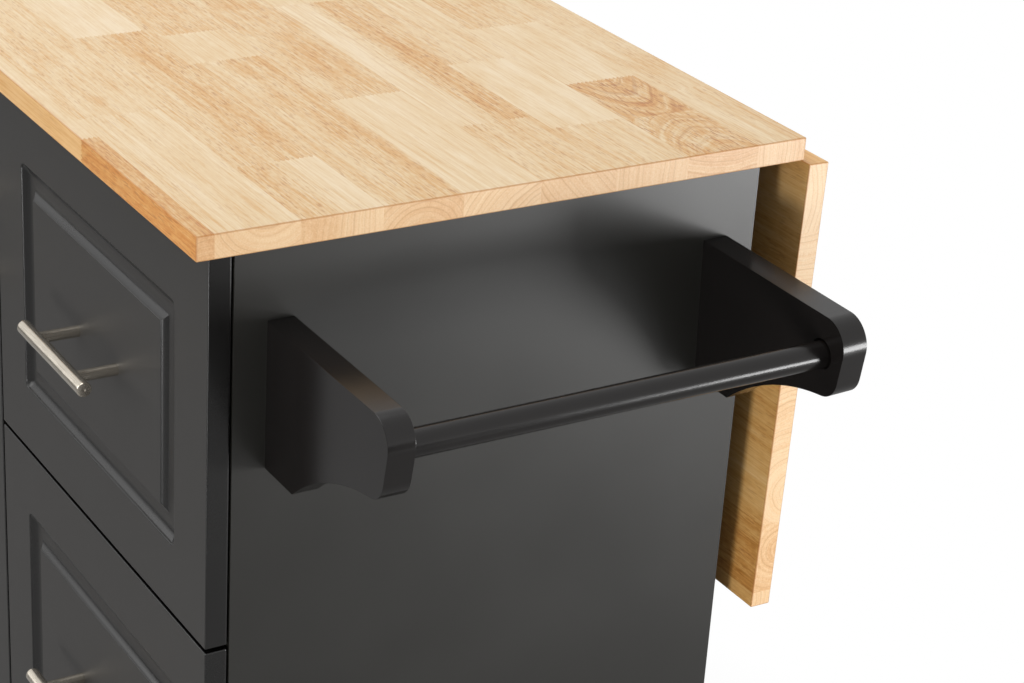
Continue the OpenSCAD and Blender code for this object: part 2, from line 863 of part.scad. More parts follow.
module drawer_runners(i) {
    z = side_z(i) + runner_up;
    color(zinc) {
        translate([box_left, runner_y, z]) mirror([1, 0, 0]) channel(inner_h);
        translate([box_right, runner_y, z]) channel(inner_h);
    }
}

// Door and its hinges

door_h = column_h;
door_z = body_z + front_reveal;
door_pin_gap = 0.2;
door_pin_out = knuckle_r + door_pin_gap;
door_pin_x = body_left - door_pin_out;
door_pin_y = front_back_y + front_clear / 2;
door_hinge_z = [door_z + door_hinge_inset, door_z + door_h / 2, door_z + door_h - door_hinge_inset];
tongue_h = door_hinge_h / 2;
tongue_reach = 11;
tongue_gap = 0.4;
tongue_end = door_pin_out + tongue_reach;
window_end = tongue_end + tongue_gap;
plate_margin = 1;
plate_end = door_pin_out + board_t - plate_margin;
tongue_screw_in = 6;
door_screw_len = 12;
door_screw_head = [5.4, 0.7];

// Places its children at each door hinge's pin.
module at_door_hinges() {
    for (z = door_hinge_z) translate([door_pin_x, door_pin_y, z]) children();
}

// Places its children at the fixed plate's screws, on the side panel's front edge.
module at_fixed_screws() {
    up = (door_hinge_h + tongue_h) / 4;
    for (side = [-1, 1])
        translate([door_pin_out + board_t / 2, front_clear / 2, side * up]) children();
}

// Places its children at the moving plate's screws, on the door's back.
module at_moving_screws() {
    for (side = [-1, 1])
        translate([door_pin_out + tongue_screw_in, -front_clear / 2, side * tongue_h / 4]) children();
}

module door_panel() {
    color(satin_black)
    difference() {
        translate([body_left, face_y, door_z]) routed_front(door_w, door_h);
        at_door_handle() handle_holes();
        at_door_hinges() at_moving_screws() rod_y(hinge_hole_d, -door_screw_len, over);
    }
}

// Places its children at the middle of the door's handle, turned upright.
module at_door_handle() {
    translate([body_left + door_w - door_handle_in, face_y, door_z + door_h - door_handle_down])
        rotate([0, 90, 0]) children();
}

module door_handle() {
    at_door_handle() handle();
}

// Draws a length of hinge knuckle from z0 to z1.
module knuckle(z0, z1) {
    translate([0, 0, z0]) cylinder(r = knuckle_r, h = z1 - z0);
}

module door_hinge_plates_fixed() {
    back = front_clear / 2;
    front = back - door_hinge_t;
    half = door_hinge_h / 2;
    slot = tongue_h / 2 + knuckle_gap / 2;
    head = door_screw_head;
    color(zinc)
    at_door_hinges() difference() {
        union() {
            block([0, front, -half], [plate_end, back, half]);
            knuckle(-half, -slot);
            knuckle(slot, half);
        }
        block([-knuckle_r - over, -knuckle_r - over, -slot], [window_end, knuckle_r + over, slot]);
        translate([0, 0, -half - over]) cylinder(d = pin_d + 2 * pin_clear, h = door_hinge_h + 2 * over);
        at_fixed_screws() {
            rod_y(hinge_hole_d, -door_hinge_t - over, over);
            rod_y(head[0] + 2 * fix_clear, -door_hinge_t - over, -door_hinge_t + head[1]);
        }
    }
}

module door_hinge_plates_moving() {
    front = -front_clear / 2;
    back = front + door_hinge_t;
    half = tongue_h / 2 - knuckle_gap / 2;
    head = door_screw_head;
    color(zinc)
    at_door_hinges() {
        difference() {
            union() {
                block([0, front, -half], [tongue_end, back, half]);
                knuckle(-half, half);
            }
            translate([0, 0, -half - over]) cylinder(d = pin_d + 2 * pin_clear, h = tongue_h + 2 * over);
            at_moving_screws() {
                rod_y(hinge_hole_d, -over, door_hinge_t + over);
                rod_y(head[0] + 2 * fix_clear, door_hinge_t - head[1], door_hinge_t + over);
            }
        }
        at_moving_screws() {
            rod_y(hinge_screw_d, -door_screw_len + over, door_hinge_t - head[1]);
            rod_y(head[0], door_hinge_t - head[1], door_hinge_t);
        }
    }
}

module door_hinge_pins() {
    color(zinc)
    at_door_hinges() translate([0, 0, -door_hinge_h / 2]) cylinder(d = pin_d, h = door_hinge_h);
}

// The screws of the hinges and stay brackets on the cabinet.
module hardware_screws() {
    head = door_screw_head;
    color(zinc) {
        at_pin() at_flap_screws(-1) hinge_screw();
        at_stays() at_bracket_plate_screws() {
            rod_y(small_screw[0], -small_screw[1], ear_t);
            rod_y(small_head[0], ear_t, ear_t + small_head[1]);
        }
        at_door_hinges() at_fixed_screws() {
            rod_y(hinge_screw_d, -door_hinge_t + head[1], door_screw_len - over);
            rod_y(head[0], -door_hinge_t, -door_hinge_t + head[1]);
        }
    }
}

// Casters

caster_x = [body_left + caster_inset, body_right - caster_inset];
caster_y = [carcass_y + caster_inset, carcass_back - caster_inset];
caster_hole_in = 8;
caster_screw_d = 5;
caster_screw_len = 12;
caster_screw_head = [9, 2];
kingpin_d = 12;
kingpin_head = [20, 2];
cap_d = 46;
cap_t = 6;
cap_top = -caster_plate_t - run_clear;
cap_bottom = cap_top - cap_t;
axle_z = wheel_d / 2 - caster_h;
axle_y = -caster_trail;
hub_proud = 1;
hub_half = wheel_w / 2 + hub_proud;
fork_in = hub_half + run_clear;
fork_out = fork_in + fork_t;
axle_head = [13, 3];
brake_pin_d = 5;
brake_hub_d = 9;
brake_gap = 1;
brake_out = wheel_d / 2 + brake_gap + brake_hub_d / 2;
// Place of the brake's pivot, from the axle
brake_pivot = brake_out * [-cos(45), sin(45)];
pedal = [22, 24, 3];
// Slope of the pedal, in degrees
pedal_slope = 12;
// How far the legs' upper corners stand in from the edge of the cap
leg_inset = 4;
// Height of the legs' straight front edge
leg_lip = 8;
// Diameter of a leg's round end at the axle, and of its ear at the brake's pivot
leg_end_d = 20;
ear_d = 11;
// Width of the web between a leg and its ear
ear_web = 12;

// Places its children at one caster: its swivel axis, on the bottom panel's underside.
module at_caster(side, end) {
    translate([caster_x[side], caster_y[end], body_z]) children();
}

module at_casters() {
    for (side = [0, 1], end = [0, 1]) at_caster(side, end) children();
}

module at_caster_screws() {
    reach = caster_plate / 2 - caster_hole_in;
    for (x = [-reach, reach], y = [-reach, reach]) translate([x, y, -caster_plate_t]) children();
}

module caster_pilot() {
    cylinder(d = caster_screw_d + 2 * fix_clear, h = caster_plate_t + caster_screw_len);
}

module caster_plates() {
    color(zinc)
    at_casters() {
        difference() {
            block([-caster_plate / 2, -caster_plate / 2, -caster_plate_t],
                [caster_plate / 2, caster_plate / 2, 0]);
            at_caster_screws() translate([0, 0, -over])
                cylinder(d = caster_screw_d + 2 * fix_clear, h = caster_plate_t + 2 * over);
        }
        translate([0, 0, cap_bottom - run_clear])
            cylinder(d = kingpin_d, h = -caster_plate_t - cap_bottom + run_clear);
        translate([0, 0, cap_bottom - run_clear - kingpin_head[1]])
            cylinder(d = kingpin_head[0], h = kingpin_head[1]);
    }
}

module caster_screws() {
    color(nickel)
    at_casters() at_caster_screws()
        screw(caster_screw_d, caster_plate_t + caster_screw_len - over, caster_screw_head[0],
            caster_screw_head[1]);
}

// Side view of a fork's leg: from under the cap to the axle, with an ear for the brake's pivot.
module leg_outline(braked) {
    ear = [axle_y + brake_pivot[0], axle_z + brake_pivot[1]];
    half = cap_d / 2 - leg_inset;
    polygon([[-half, cap_bottom], [half, cap_bottom], [half, cap_bottom - leg_lip],
        [axle_y + leg_end_d / 2, axle_z], [axle_y - leg_end_d / 2, axle_z]]);
    translate([axle_y, axle_z]) circle(d = leg_end_d);
    if (braked) {
        translate(ear) circle(d = ear_d);
        polygon([ear - [ear_d / 2, 0], [-half, cap_bottom], [ear_web - half, cap_bottom],
            [axle_y, axle_z + ear_web], ear - [0, ear_d / 2]]);
    }
}

module fork(braked) {
    color(nickel)
    difference() {
        union() {
            translate([0, 0, cap_bottom]) cylinder(d = cap_d, h = cap_t);
            for (x = [-fork_out, fork_in]) translate([x, 0, 0]) rotate([90, 0, 90])
                linear_extrude(fork_t) leg_outline(braked);
        }
        translate([0, 0, cap_bottom - over]) cylinder(d = kingpin_d + 2 * pin_clear, h = cap_t + 2 * over);
        translate([0, axle_y, axle_z]) rod_x(axle_d + 2 * fix_clear, -fork_out - over, fork_out + over);
        if (braked) translate([0, axle_y + brake_pivot[0], axle_z + brake_pivot[1]])
            rod_x(brake_pin_d + 2 * pin_clear, -fork_out - over, fork_out + over);
    }
}

module axle() {
    color(zinc)
    translate([0, axle_y, axle_z]) {
        rod_x(axle_d, -fork_out, fork_out);
        rod_x(axle_head[0], -fork_out - axle_head[1], -fork_out);
        rod_x(axle_head[0], fork_out, fork_out + axle_head[1]);
    }
}

tread_r = 4;
tread_t = 9;
hub_d = 20;
dish = 5;
// How far the dished faces' walls slope outwards
dish_slope = 1;

// Half section of a wheel: radius, and place along the axle.
wheel_outline = concat(
    [[axle_d / 2 + pin_clear, -hub_half], [hub_d / 2, -hub_half],
        [hub_d / 2 + dish_slope, -wheel_w / 2 + dish],
        [wheel_d / 2 - tread_t, -wheel_w / 2 + dish],
        [wheel_d / 2 - tread_t + dish_slope, -wheel_w / 2]],
    arc([wheel_d / 2 - tread_r, -wheel_w / 2 + tread_r], tread_r, -90, 0, 5),
    arc([wheel_d / 2 - tread_r, wheel_w / 2 - tread_r], tread_r, 0, 90, 5),
    [[wheel_d / 2 - tread_t + dish_slope, wheel_w / 2],
        [wheel_d / 2 - tread_t, wheel_w / 2 - dish],
        [hub_d / 2 + dish_slope, wheel_w / 2 - dish],
        [hub_d / 2, hub_half], [axle_d / 2 + pin_clear, hub_half]]
);

module wheel() {
    color(wheel_black)
    translate([0, axle_y, axle_z]) rotate([0, 90, 0]) rotate_extrude() polygon(wheel_outline);
}

// Brake pedal: a hub on stub axles, with a flat pedal that slopes up from it.
module brake() {
    color(zinc)
    translate([0, axle_y + brake_pivot[0], axle_z + brake_pivot[1]]) {
        rod_x(brake_pin_d, -fork_out, fork_out);
        rod_x(brake_hub_d, -fork_in + run_clear, fork_in - run_clear);
        rotate([-pedal_slope, 0, 0])
            block([-pedal[0] / 2, -brake_hub_d / 2 - pedal[1], 0], [pedal[0] / 2, 0, pedal[2]]);
    }
}

// Nodes

worktop();
side_panel_right();
side_panel_left();
partition();
bottom_panel();
back_panel();
top_rails();
shelf();
shelf_pins();
cabinet_runners();
towel_bracket(0);  // towel_bracket_front
towel_bracket(1);  // towel_bracket_rear
towel_bracket_screws();
towel_bar();
leaf_hinge_plates_fixed();
leaf_hinge_pins();
stay_brackets();
stay_rivets();
door_hinge_plates_fixed();
door_hinge_pins();
hardware_screws();
caster_plates();
caster_screws();
drawer_front(2);  // drawer_top_front
drawer_box(2);  // drawer_top_box
drawer_bottom(2);  // drawer_top_bottom
drawer_runners(2);  // drawer_top_runners
drawer_handle(2);  // drawer_top_handle
drawer_front(1);  // drawer_middle_front
drawer_box(1);  // drawer_middle_box
drawer_bottom(1);  // drawer_middle_bottom
drawer_runners(1);  // drawer_middle_runners
drawer_handle(1);  // drawer_middle_handle
drawer_front(0);  // drawer_lower_front
drawer_box(0);  // drawer_lower_box
drawer_bottom(0);  // drawer_lower_bottom
drawer_runners(0);  // drawer_lower_runners
drawer_handle(0);  // drawer_lower_handle
door_panel();
door_handle();
door_hinge_plates_moving();
drop_leaf();
leaf_hinge_plates_moving();
leaf_screws();
stay_catches();
stay_struts();
at_caster(0, 0) fork(true);  // caster_front_left_fork
at_caster(0, 0) axle();  // caster_front_left_axle
at_caster(0, 0) wheel();  // caster_front_left_wheel
at_caster(0, 0) brake();  // caster_front_left_brake
at_caster(1, 0) fork(true);  // caster_front_right_fork
at_caster(1, 0) axle();  // caster_front_right_axle
at_caster(1, 0) wheel();  // caster_front_right_wheel
at_caster(1, 0) brake();  // caster_front_right_brake
at_caster(0, 1) fork(false);  // caster_rear_left_fork
at_caster(0, 1) axle();  // caster_rear_left_axle
at_caster(0, 1) wheel();  // caster_rear_left_wheel
at_caster(1, 1) fork(false);  // caster_rear_right_fork
at_caster(1, 1) axle();  // caster_rear_right_axle
at_caster(1, 1) wheel();  // caster_rear_right_wheel
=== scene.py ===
"""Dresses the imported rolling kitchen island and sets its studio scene."""

import json
import logging
import math
from collections.abc import Callable, Iterable
from dataclasses import dataclass
from enum import Enum
from typing import Any

import bmesh
import bpy
from mathutils import Matrix, Vector


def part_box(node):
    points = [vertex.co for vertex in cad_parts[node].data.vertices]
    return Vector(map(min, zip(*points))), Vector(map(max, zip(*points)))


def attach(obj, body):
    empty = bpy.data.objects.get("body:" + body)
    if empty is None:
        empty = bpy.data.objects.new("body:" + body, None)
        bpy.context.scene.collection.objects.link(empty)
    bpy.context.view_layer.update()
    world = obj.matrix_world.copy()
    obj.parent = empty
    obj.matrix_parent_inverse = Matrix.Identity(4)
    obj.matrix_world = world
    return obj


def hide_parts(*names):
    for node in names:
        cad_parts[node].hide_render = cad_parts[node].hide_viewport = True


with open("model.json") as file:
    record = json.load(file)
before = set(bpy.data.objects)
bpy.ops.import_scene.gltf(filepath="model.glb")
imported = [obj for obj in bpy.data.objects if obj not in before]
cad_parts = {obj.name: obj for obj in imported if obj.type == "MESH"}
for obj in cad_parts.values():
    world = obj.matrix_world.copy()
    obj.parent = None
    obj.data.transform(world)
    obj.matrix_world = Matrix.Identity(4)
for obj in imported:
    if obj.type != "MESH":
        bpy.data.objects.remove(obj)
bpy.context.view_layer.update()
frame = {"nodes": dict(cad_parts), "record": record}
LOG = logging.getLogger("island")

Colour = tuple[float, float, float, float]
Triple = tuple[float, float, float]
Profile = list[tuple[float, float]]
Socket = bpy.types.NodeSocket
Edges = list[bmesh.types.BMEdge]
Faces = list[bmesh.types.BMFace]
Points = list[bmesh.types.BMVert]

# Lengths are in metres. Points closer together than WELD count as one, and those of a spun shape closer
# than SPIN_WELD.
MILLIMETRE = 0.001
WELD = 1e-6
SPIN_WELD = 1e-7
STAVE_PITCH = 0.0549
FIRST_STAVE = 0.0115

WHITE = (1.0, 1.0, 1.0, 1.0)


def shade(code: str) -> Colour:
    """Turns a screen colour into a scene colour.

    Args:
        code: Six hexadecimal digits.

    Returns:
        The linear colour, with an alpha of 1.
    """
    parts = [int(code[i:i + 2], 16) / 255 for i in (0, 2, 4)]
    linear = [p / 12.92 if p <= 0.04045 else ((p + 0.055) / 1.055) ** 2.4 for p in parts]
    return linear[0], linear[1], linear[2], 1.0


class Slot(Enum):
    """The record's material slots."""

    BUTCHER_BLOCK = "butcher_block"
    CABINET_PAINT = "cabinet_paint"
    RAIL_PAINT = "rail_paint"
    DRAWER_BOARD = "drawer_board"
    BRUSHED_NICKEL = "brushed_nickel"
    ZINC_STEEL = "zinc_steel"
    CASTER_STEEL = "caster_steel"
    CASTER_TREAD = "caster_tread"


class Axis(Enum):
    """The axes of the row frame."""

    X = 0
    Y = 1
    Z = 2

    @property
    def vector(self) -> Vector:
        """The axis as a unit vector."""
        return Vector([1.0 if i == self.value else 0.0 for i in range(3)])


class Mark(Enum):
    """The layers of a board that tell its finish which billet lies where."""

    JOINT = "stave_joint"
    LEFT_TONE = "stave_left_tone"
    RIGHT_TONE = "stave_right_tone"
    LEFT_HEART = "stave_left_heart"
    RIGHT_HEART = "stave_right_heart"
    EDGE = "stave_edge"


class Signal:
    """A socket that carries a number, with the arithmetic that adds its nodes."""

    def __init__(self, tree: "Tree", socket: Socket) -> None:
        """Wraps an output socket of a tree's node."""
        self.tree = tree
        self.socket = socket

    def _maths(self, operation: str, *values: "Signal | float") -> "Signal":
        """Adds one node of arithmetic.

        Args:
            operation: The node's operation.
            values: Its inputs in order.

        Returns:
            The node's result.
        """
        node = self.tree.add("ShaderNodeMath", {"operation": operation}, dict(enumerate(values)))
        return Signal(self.tree, node.outputs[0])

    def __add__(self, other: "Signal | float") -> "Signal":
        """Adds another value."""
        return self._maths("ADD", self, other)

    def __radd__(self, other: float) -> "Signal":
        """Adds this value to a number."""
        return self._maths("ADD", other, self)

    def __sub__(self, other: "Signal | float") -> "Signal":
        """Takes away another value."""
        return self._maths("SUBTRACT", self, other)

    def __rsub__(self, other: float) -> "Signal":
        """Takes this value from a number."""
        return self._maths("SUBTRACT", other, self)

    def __mul__(self, other: "Signal | float") -> "Signal":
        """Multiplies by another value."""
        return self._maths("MULTIPLY", self, other)

    def __rmul__(self, other: float) -> "Signal":
        """Multiplies a number by this value."""
        return self._maths("MULTIPLY", other, self)

    def __truediv__(self, other: "Signal | float") -> "Signal":
        """Divides by another value."""
        return self._maths("DIVIDE", self, other)

    def size(self) -> "Signal":
        """The value without its sign."""
        return self._maths("ABSOLUTE", self)

    def root(self) -> "Signal":
        """The square root."""
        return self._maths("SQRT", self)

    def wave(self) -> "Signal":
        """The sine."""
        return self._maths("SINE", self)

    def fraction(self) -> "Signal":
        """The part after the point."""
        return self._maths("FRACT", self)

    def above(self, level: "Signal | float") -> "Signal":
        """One where the value is over a level, else zero."""
        return self._maths("GREATER_THAN", self, level)

    def most(self, other: "Signal | float") -> "Signal":
        """The larger of two values."""
        return self._maths("MAXIMUM", self, other)

    def rise(self, low: float, high: float, start: float = 0.0, end: float = 1.0) -> "Signal":
        """Rises smoothly between two levels.

        Args:
            low: Level at which the rise begins.
            high: Level at which it ends.
            start: Result below the low level.
            end: Result above the high level.

        Returns:
            The eased value.
        """
        node = self.tree.add(
            "ShaderNodeMapRange",
            {"interpolation_type": "SMOOTHSTEP"},
            {"Value": self, "From Min": low, "From Max": high, "To Min": start, "To Max": end},
        )
        return Signal(self.tree, node.outputs[0])


class Tree:
    """The nodes of a material or a world, with the one way in which they are added."""

    def __init__(self, owner: bpy.types.Material | bpy.types.World) -> None:
        """Empties a node tree to fill it anew.

        Args:
            owner: The material or world that it belongs to.
        """
        owner.use_nodes = True
        self.tree = owner.node_tree
        self.tree.nodes.clear()

    def add(
        self,
        kind: str,
        settings: dict[str, Any] | None = None,
        sockets: dict[int | str, Any] | None = None,
    ) -> bpy.types.Node:
        """Adds a node.

        Args:
            kind: The node's type.
            settings: Its properties, set first; "stops" fills a ramp with (place, colour) pairs.
            sockets: A value, a socket or a signal for each input.

        Returns:
            The new node.
        """
        node = self.tree.nodes.new(kind)
        for key, value in (settings or {}).items():
            if key == "stops":
                self._fill_ramp(node.color_ramp, value)
            else:
                setattr(node, key, value)
        for key, value in (sockets or {}).items():
            self.feed(node.inputs[key], value)
        return node

    def feed(self, socket: Socket, value: Any) -> None:
        """Gives a socket a value or a link.

        Args:
            socket: The input socket.
            value: A value, another socket or a signal.
        """
        if isinstance(value, Signal):
            self.tree.links.new(value.socket, socket)
        elif isinstance(value, bpy.types.NodeSocket):
            self.tree.links.new(value, socket)
        else:
            socket.default_value = value

    @staticmethod
    def _fill_ramp(ramp: bpy.types.ColorRamp, stops: Iterable[tuple[float, Colour]]) -> None:
        """Sets a ramp's stops.

        Args:
            ramp: The ramp, which starts with two stops.
            stops: Pairs of place and colour.
        """
        for i, (place, colour) in enumerate(stops):
            stop = ramp.elements[i] if i < 2 else ramp.elements.new(place)
            stop.position = place
            stop.color = colour

    def seen(self, *kinds: str) -> Signal:
        """Tells which rays meet the surface.

        Args:
            kinds: Kinds of ray, such as Camera.

        Returns:
            One for rays of any of these kinds, else zero.
        """
        path = self.add("ShaderNodeLightPath")
        found = Signal(self, path.outputs[f"Is {kinds[0]} Ray"])
        for kind in kinds[1:]:
            found = found.most(Signal(self, path.outputs[f"Is {kind} Ray"]))
        return found

    def parts(self, vector: Socket) -> tuple[Signal, Signal, Signal]:
        """Splits a vector into its three numbers."""
        outputs = self.add("ShaderNodeSeparateXYZ", {}, {0: vector}).outputs
        return Signal(self, outputs[0]), Signal(self, outputs[1]), Signal(self, outputs[2])


class Recipe(Tree):
    """The node tree of one material, round its Principled shader."""

    def __init__(self, name: str) -> None:
        """Starts a material with its shader, its output and its coordinates.

        Args:
            name: The material's name.
        """
        self.material = bpy.data.materials.new(name)
        super().__init__(self.material)
        self.shader = self.add("ShaderNodeBsdfPrincipled")
        self.output = self.add("ShaderNodeOutputMaterial", {}, {"Surface": self.shader.outputs[0]})
        self.place = self.add("ShaderNodeTexCoord").outputs["Object"]

    def set(self, **values: Any) -> None:
        """Sets or feeds the Principled shader's sockets, named with underscores."""
        for key, value in values.items():
            self.feed(self.shader.inputs[key.replace("_", " ")], value)

    def vector(self, x: Signal | float, y: Signal | float, z: Signal | float) -> Socket:
        """Joins three numbers into a vector."""
        return self.add("ShaderNodeCombineXYZ", {}, {0: x, 1: y, 2: z}).outputs[0]

    def attribute(self, mark: Mark) -> tuple[Signal, Signal, Signal]:
        """Reads a vector that the mesh carries."""
        node = self.add("ShaderNodeAttribute", {"attribute_name": mark.value})
        return self.parts(node.outputs["Vector"])

    def stretched(self, scale: Triple) -> Socket:
        """The object's own coordinates, scaled along each axis."""
        sockets = {0: self.place, 1: scale}
        return self.add("ShaderNodeVectorMath", {"operation": "MULTIPLY"}, sockets).outputs[0]

    def noise(self, vector: Socket, scale: float = 1.0, detail: float = 2.0, rough: float = 0.5) -> Signal:
        """Smooth noise from 0 to 1.

        Args:
            vector: Where to read it.
            scale: Number of features per unit.
            detail: Number of finer layers.
            rough: Strength of the finer layers.

        Returns:
            The noise.
        """
        sockets = {"Vector": vector, "Scale": scale, "Detail": detail, "Roughness": rough}
        return Signal(self, self.add("ShaderNodeTexNoise", {}, sockets).outputs[0])

    def blend(self, low: Signal | float, high: Signal | float, factor: Signal) -> Signal:
        """Goes from one number to another."""
        node = self.add("ShaderNodeMix", {"data_type": "FLOAT"}, {0: factor, 2: low, 3: high})
        return Signal(self, node.outputs[0])

    def tint(
        self, low: Socket | Colour, high: Socket | Colour, factor: Signal | float, mode: str = "MIX"
    ) -> Socket:
        """Mixes one colour with another.

        Args:
            low: The first colour.
            high: The second colour.
            factor: How much of the second.
            mode: The way in which they mix.

        Returns:
            The mixed colour.
        """
        settings = {"data_type": "RGBA", "blend_type": mode}
        return self.add("ShaderNodeMix", settings, {0: factor, 6: low, 7: high}).outputs[2]

    def ramp(self, factor: Signal, *stops: tuple[float, str]) -> Socket:
        """Turns a number into a colour by stops of place and screen colour."""
        pairs = [(place, shade(code)) for place, code in stops]
        return self.add("ShaderNodeValToRGB", {"stops": pairs}, {0: factor}).outputs[0]

    def relief(self, height: Signal, depth: float, strength: float = 1.0) -> None:
        """Feeds a height, in parts of a depth in metres, to the shader's normal."""
        sockets = {"Height": height, "Distance": depth, "Strength": strength}
        self.set(Normal=self.add("ShaderNodeBump", {}, sockets).outputs[0])

    def facing(self) -> tuple[Signal, Signal, Signal]:
        """The surface's own direction, without its relief."""
        return self.parts(self.add("ShaderNodeNewGeometry").outputs["Normal"])


class Finish:
    """A finish that makes its material once and hands it out."""

    slot: Slot
    name: str
    _made: dict[str, bpy.types.Material] = {}

    def material(self) -> bpy.types.Material:
        """Makes this finish's material at its first use.

        Returns:
            The material.
        """
        if self.name not in Finish._made:
            recipe = Recipe(self.name)
            self.mix(recipe)
            Finish._made[self.name] = recipe.material
        return Finish._made[self.name]

    def mix(self, recipe: Recipe) -> None:
        """Builds the finish's nodes in a recipe."""
        raise NotImplementedError


@dataclass(frozen=True)
class Wood:
    """The billet under a point, as the board's marks give it."""

    seed: Signal
    tone: Signal
    lines: Signal
    radius: Signal


@dataclass(frozen=True)
class Grain:
    """The wood's patterns at a point, each from 0 to 1."""

    bands: Signal
    streaks: Signal
    fibre: Signal
    patch: Signal
    mottle: Signal
    pores: Signal


@dataclass(frozen=True)
class ButcherBlock(Finish):
    """Lacquered staves of rubberwood, glued side by side, with combed butt joints."""

    name: str = "butcher_block_top"
    slot: Slot = Slot.BUTCHER_BLOCK
    glue_start: float = 0.0
    upright: bool = False
    pitch: float = STAVE_PITCH
    comb_pitch: float = 0.0032
    comb_depth: float = 0.0026
    ring_pitch: float = 0.0037
    ring_warp: float = 0.014
    tones: tuple[str, ...] = ("ecd6b4", "e2c599", "d6a76b", "c48544", "a3652f")
    cut_tones: tuple[str, ...] = ("f0cfa4", "e5bb8b", "d7a370", "bf8753")
    # Multiplied onto the sides that face front and back, or up and down on an upright board: painted shade.
    painted_side_shade: str = "ffe6c0"
    pore: str = "a8652f"
    ring: str = "ad7038"
    eased_edge: str = "b9793c"

    def mix(self, recipe: Recipe) -> None:
        """Builds the wood's tones with a painted shade on its long sides, then its pores, rings and eased
        edges.

        Args:
            recipe: The recipe to fill.
        """
        x, y, z = recipe.parts(recipe.place)
        wood = self._wood(recipe, x, y, z)
        grain = self._grain(recipe, wood, x, y, z)
        facing = recipe.facing()
        end = facing[0].size().rise(0.6, 0.9)
        side = facing[2 if self.upright else 1].size().rise(0.6, 0.9)
        open_pores = (grain.patch * 0.6 + wood.tone).rise(0.42, 0.75, 0.12, 1.0)
        dash = grain.pores.rise(0.55, 0.70) * open_pores * (1 - end * 0.8)
        # The long sides are darkened by the painted side shade.
        colour = recipe.tint(self._tones(recipe, wood, grain, end), shade(self.painted_side_shade), side, "MULTIPLY")
        colour = recipe.tint(colour, shade(self.pore), dash * (0.5 + wood.lines * 0.4))
        colour = recipe.tint(colour, shade(self.ring), self._rings(wood, grain, end) * 0.5)
        colour = recipe.tint(colour, shade(self.eased_edge), recipe.attribute(Mark.EDGE)[0] * 0.55)
        recipe.set(Base_Color=colour, Roughness=grain.fibre.rise(0.0, 1.0, 0.36, 0.46), IOR=1.46)
        recipe.relief(grain.fibre * 0.6 - dash * 0.5, 0.00004, 0.3)

    def _wood(self, recipe: Recipe, x: Signal, y: Signal, z: Signal) -> Wood:
        """Reads the billet under a point, on its side of the combed joint.

        Args:
            recipe: The recipe to fill.
            x: The point's place along the board.
            y: Its place from front to back.
            z: Its height.

        Returns:
            The billet's seed and tone, how clear its lines are, and how far its heart is.
        """
        joint, lines_left, lines_right = recipe.attribute(Mark.JOINT)
        front_left, back_left, seed_left = recipe.attribute(Mark.LEFT_TONE)
        front_right, back_right, seed_right = recipe.attribute(Mark.RIGHT_TONE)
        hearts = zip(recipe.attribute(Mark.LEFT_HEART), recipe.attribute(Mark.RIGHT_HEART))
        comb = (((y + z) / self.comb_pitch).fraction() - 0.5).size() * (2 * self.comb_depth)
        past = (x - joint + comb).above(0.0)
        seed = recipe.blend(seed_left, seed_right, past)
        heart_y, heart_z, slope = [recipe.blend(left, right, past) for left, right in hearts]
        off_y = y - heart_y
        off_z = z - heart_z - slope * (x - joint)
        warp = recipe.noise(recipe.vector(x * 3.6 + seed * 7.3, y * 16.0, z * 16.0 + seed), 1.0, 3.0)
        within = (((z if self.upright else y) - self.glue_start) / self.pitch).fraction()
        front = recipe.blend(front_left, front_right, past)
        back = recipe.blend(back_left, back_right, past)
        return Wood(
            seed=seed,
            tone=recipe.blend(front, back, within.rise(0.25, 0.75)),
            lines=recipe.blend(lines_left, lines_right, past),
            radius=(off_y * off_y + off_z * off_z).root() + (warp - 0.5) * self.ring_warp,
        )

    @staticmethod
    def _grain(recipe: Recipe, wood: Wood, x: Signal, y: Signal, z: Signal) -> Grain:
        """Draws the patterns, all long along the board and fine across it.

        Args:
            recipe: The recipe to fill.
            wood: The billet.
            x: The point's place along the board.
            y: Its place from front to back.
            z: Its height.

        Returns:
            The patterns.
        """
        radius, seed = wood.radius, wood.seed
        # The factors of x, y, z and the radius are features per metre.
        return Grain(
            bands=recipe.noise(recipe.vector(radius * 150.0, seed * 17.0, x * 2.2), 1.0, 3.0, 0.62),
            streaks=recipe.noise(recipe.vector(radius * 430.0, seed * 5.0, x * 13.0), 1.0, 4.0, 0.72),
            fibre=recipe.noise(recipe.vector(x * 22.0, y * 900.0 + seed, z * 900.0), 1.0, 2.0, 0.6),
            patch=recipe.noise(recipe.vector(x * 15.0 + seed * 2.0, y * 70.0, z * 70.0), 1.0, 3.0, 0.6),
            mottle=recipe.noise(recipe.vector(x * 150.0, y * 420.0, z * 420.0 + seed), 1.0, 2.0, 0.6),
            pores=recipe.noise(recipe.vector(x * 105.0, y * 950.0, z * 950.0 + seed), 1.0, 1.0, 0.5),
        )

    def _tones(self, recipe: Recipe, wood: Wood, grain: Grain, end: Signal) -> Socket:
        """Colours the wood, with a scale of its own for the sawn ends.

        Args:
            recipe: The recipe to fill.
            wood: The billet.
            grain: The patterns.
            end: One on a sawn end, else zero.

        Returns:
            The colour.
        """
        level = wood.tone * 0.8 + 0.05
        level += (grain.bands - 0.5) * 0.40
        level += (grain.streaks - 0.5) * (0.62 + wood.lines * 0.8)
        level += (grain.fibre - 0.5) * 0.62
        level += (grain.patch - 0.5) * 0.30
        level += (grain.mottle - 0.5) * (wood.tone * 0.9)
        face = recipe.ramp(level, *zip((0.0, 0.25, 0.5, 0.75, 1.0), self.tones))
        cut = recipe.ramp(level, *zip((0.0, 0.35, 0.7, 1.0), self.cut_tones))
        return recipe.tint(face, cut, end)

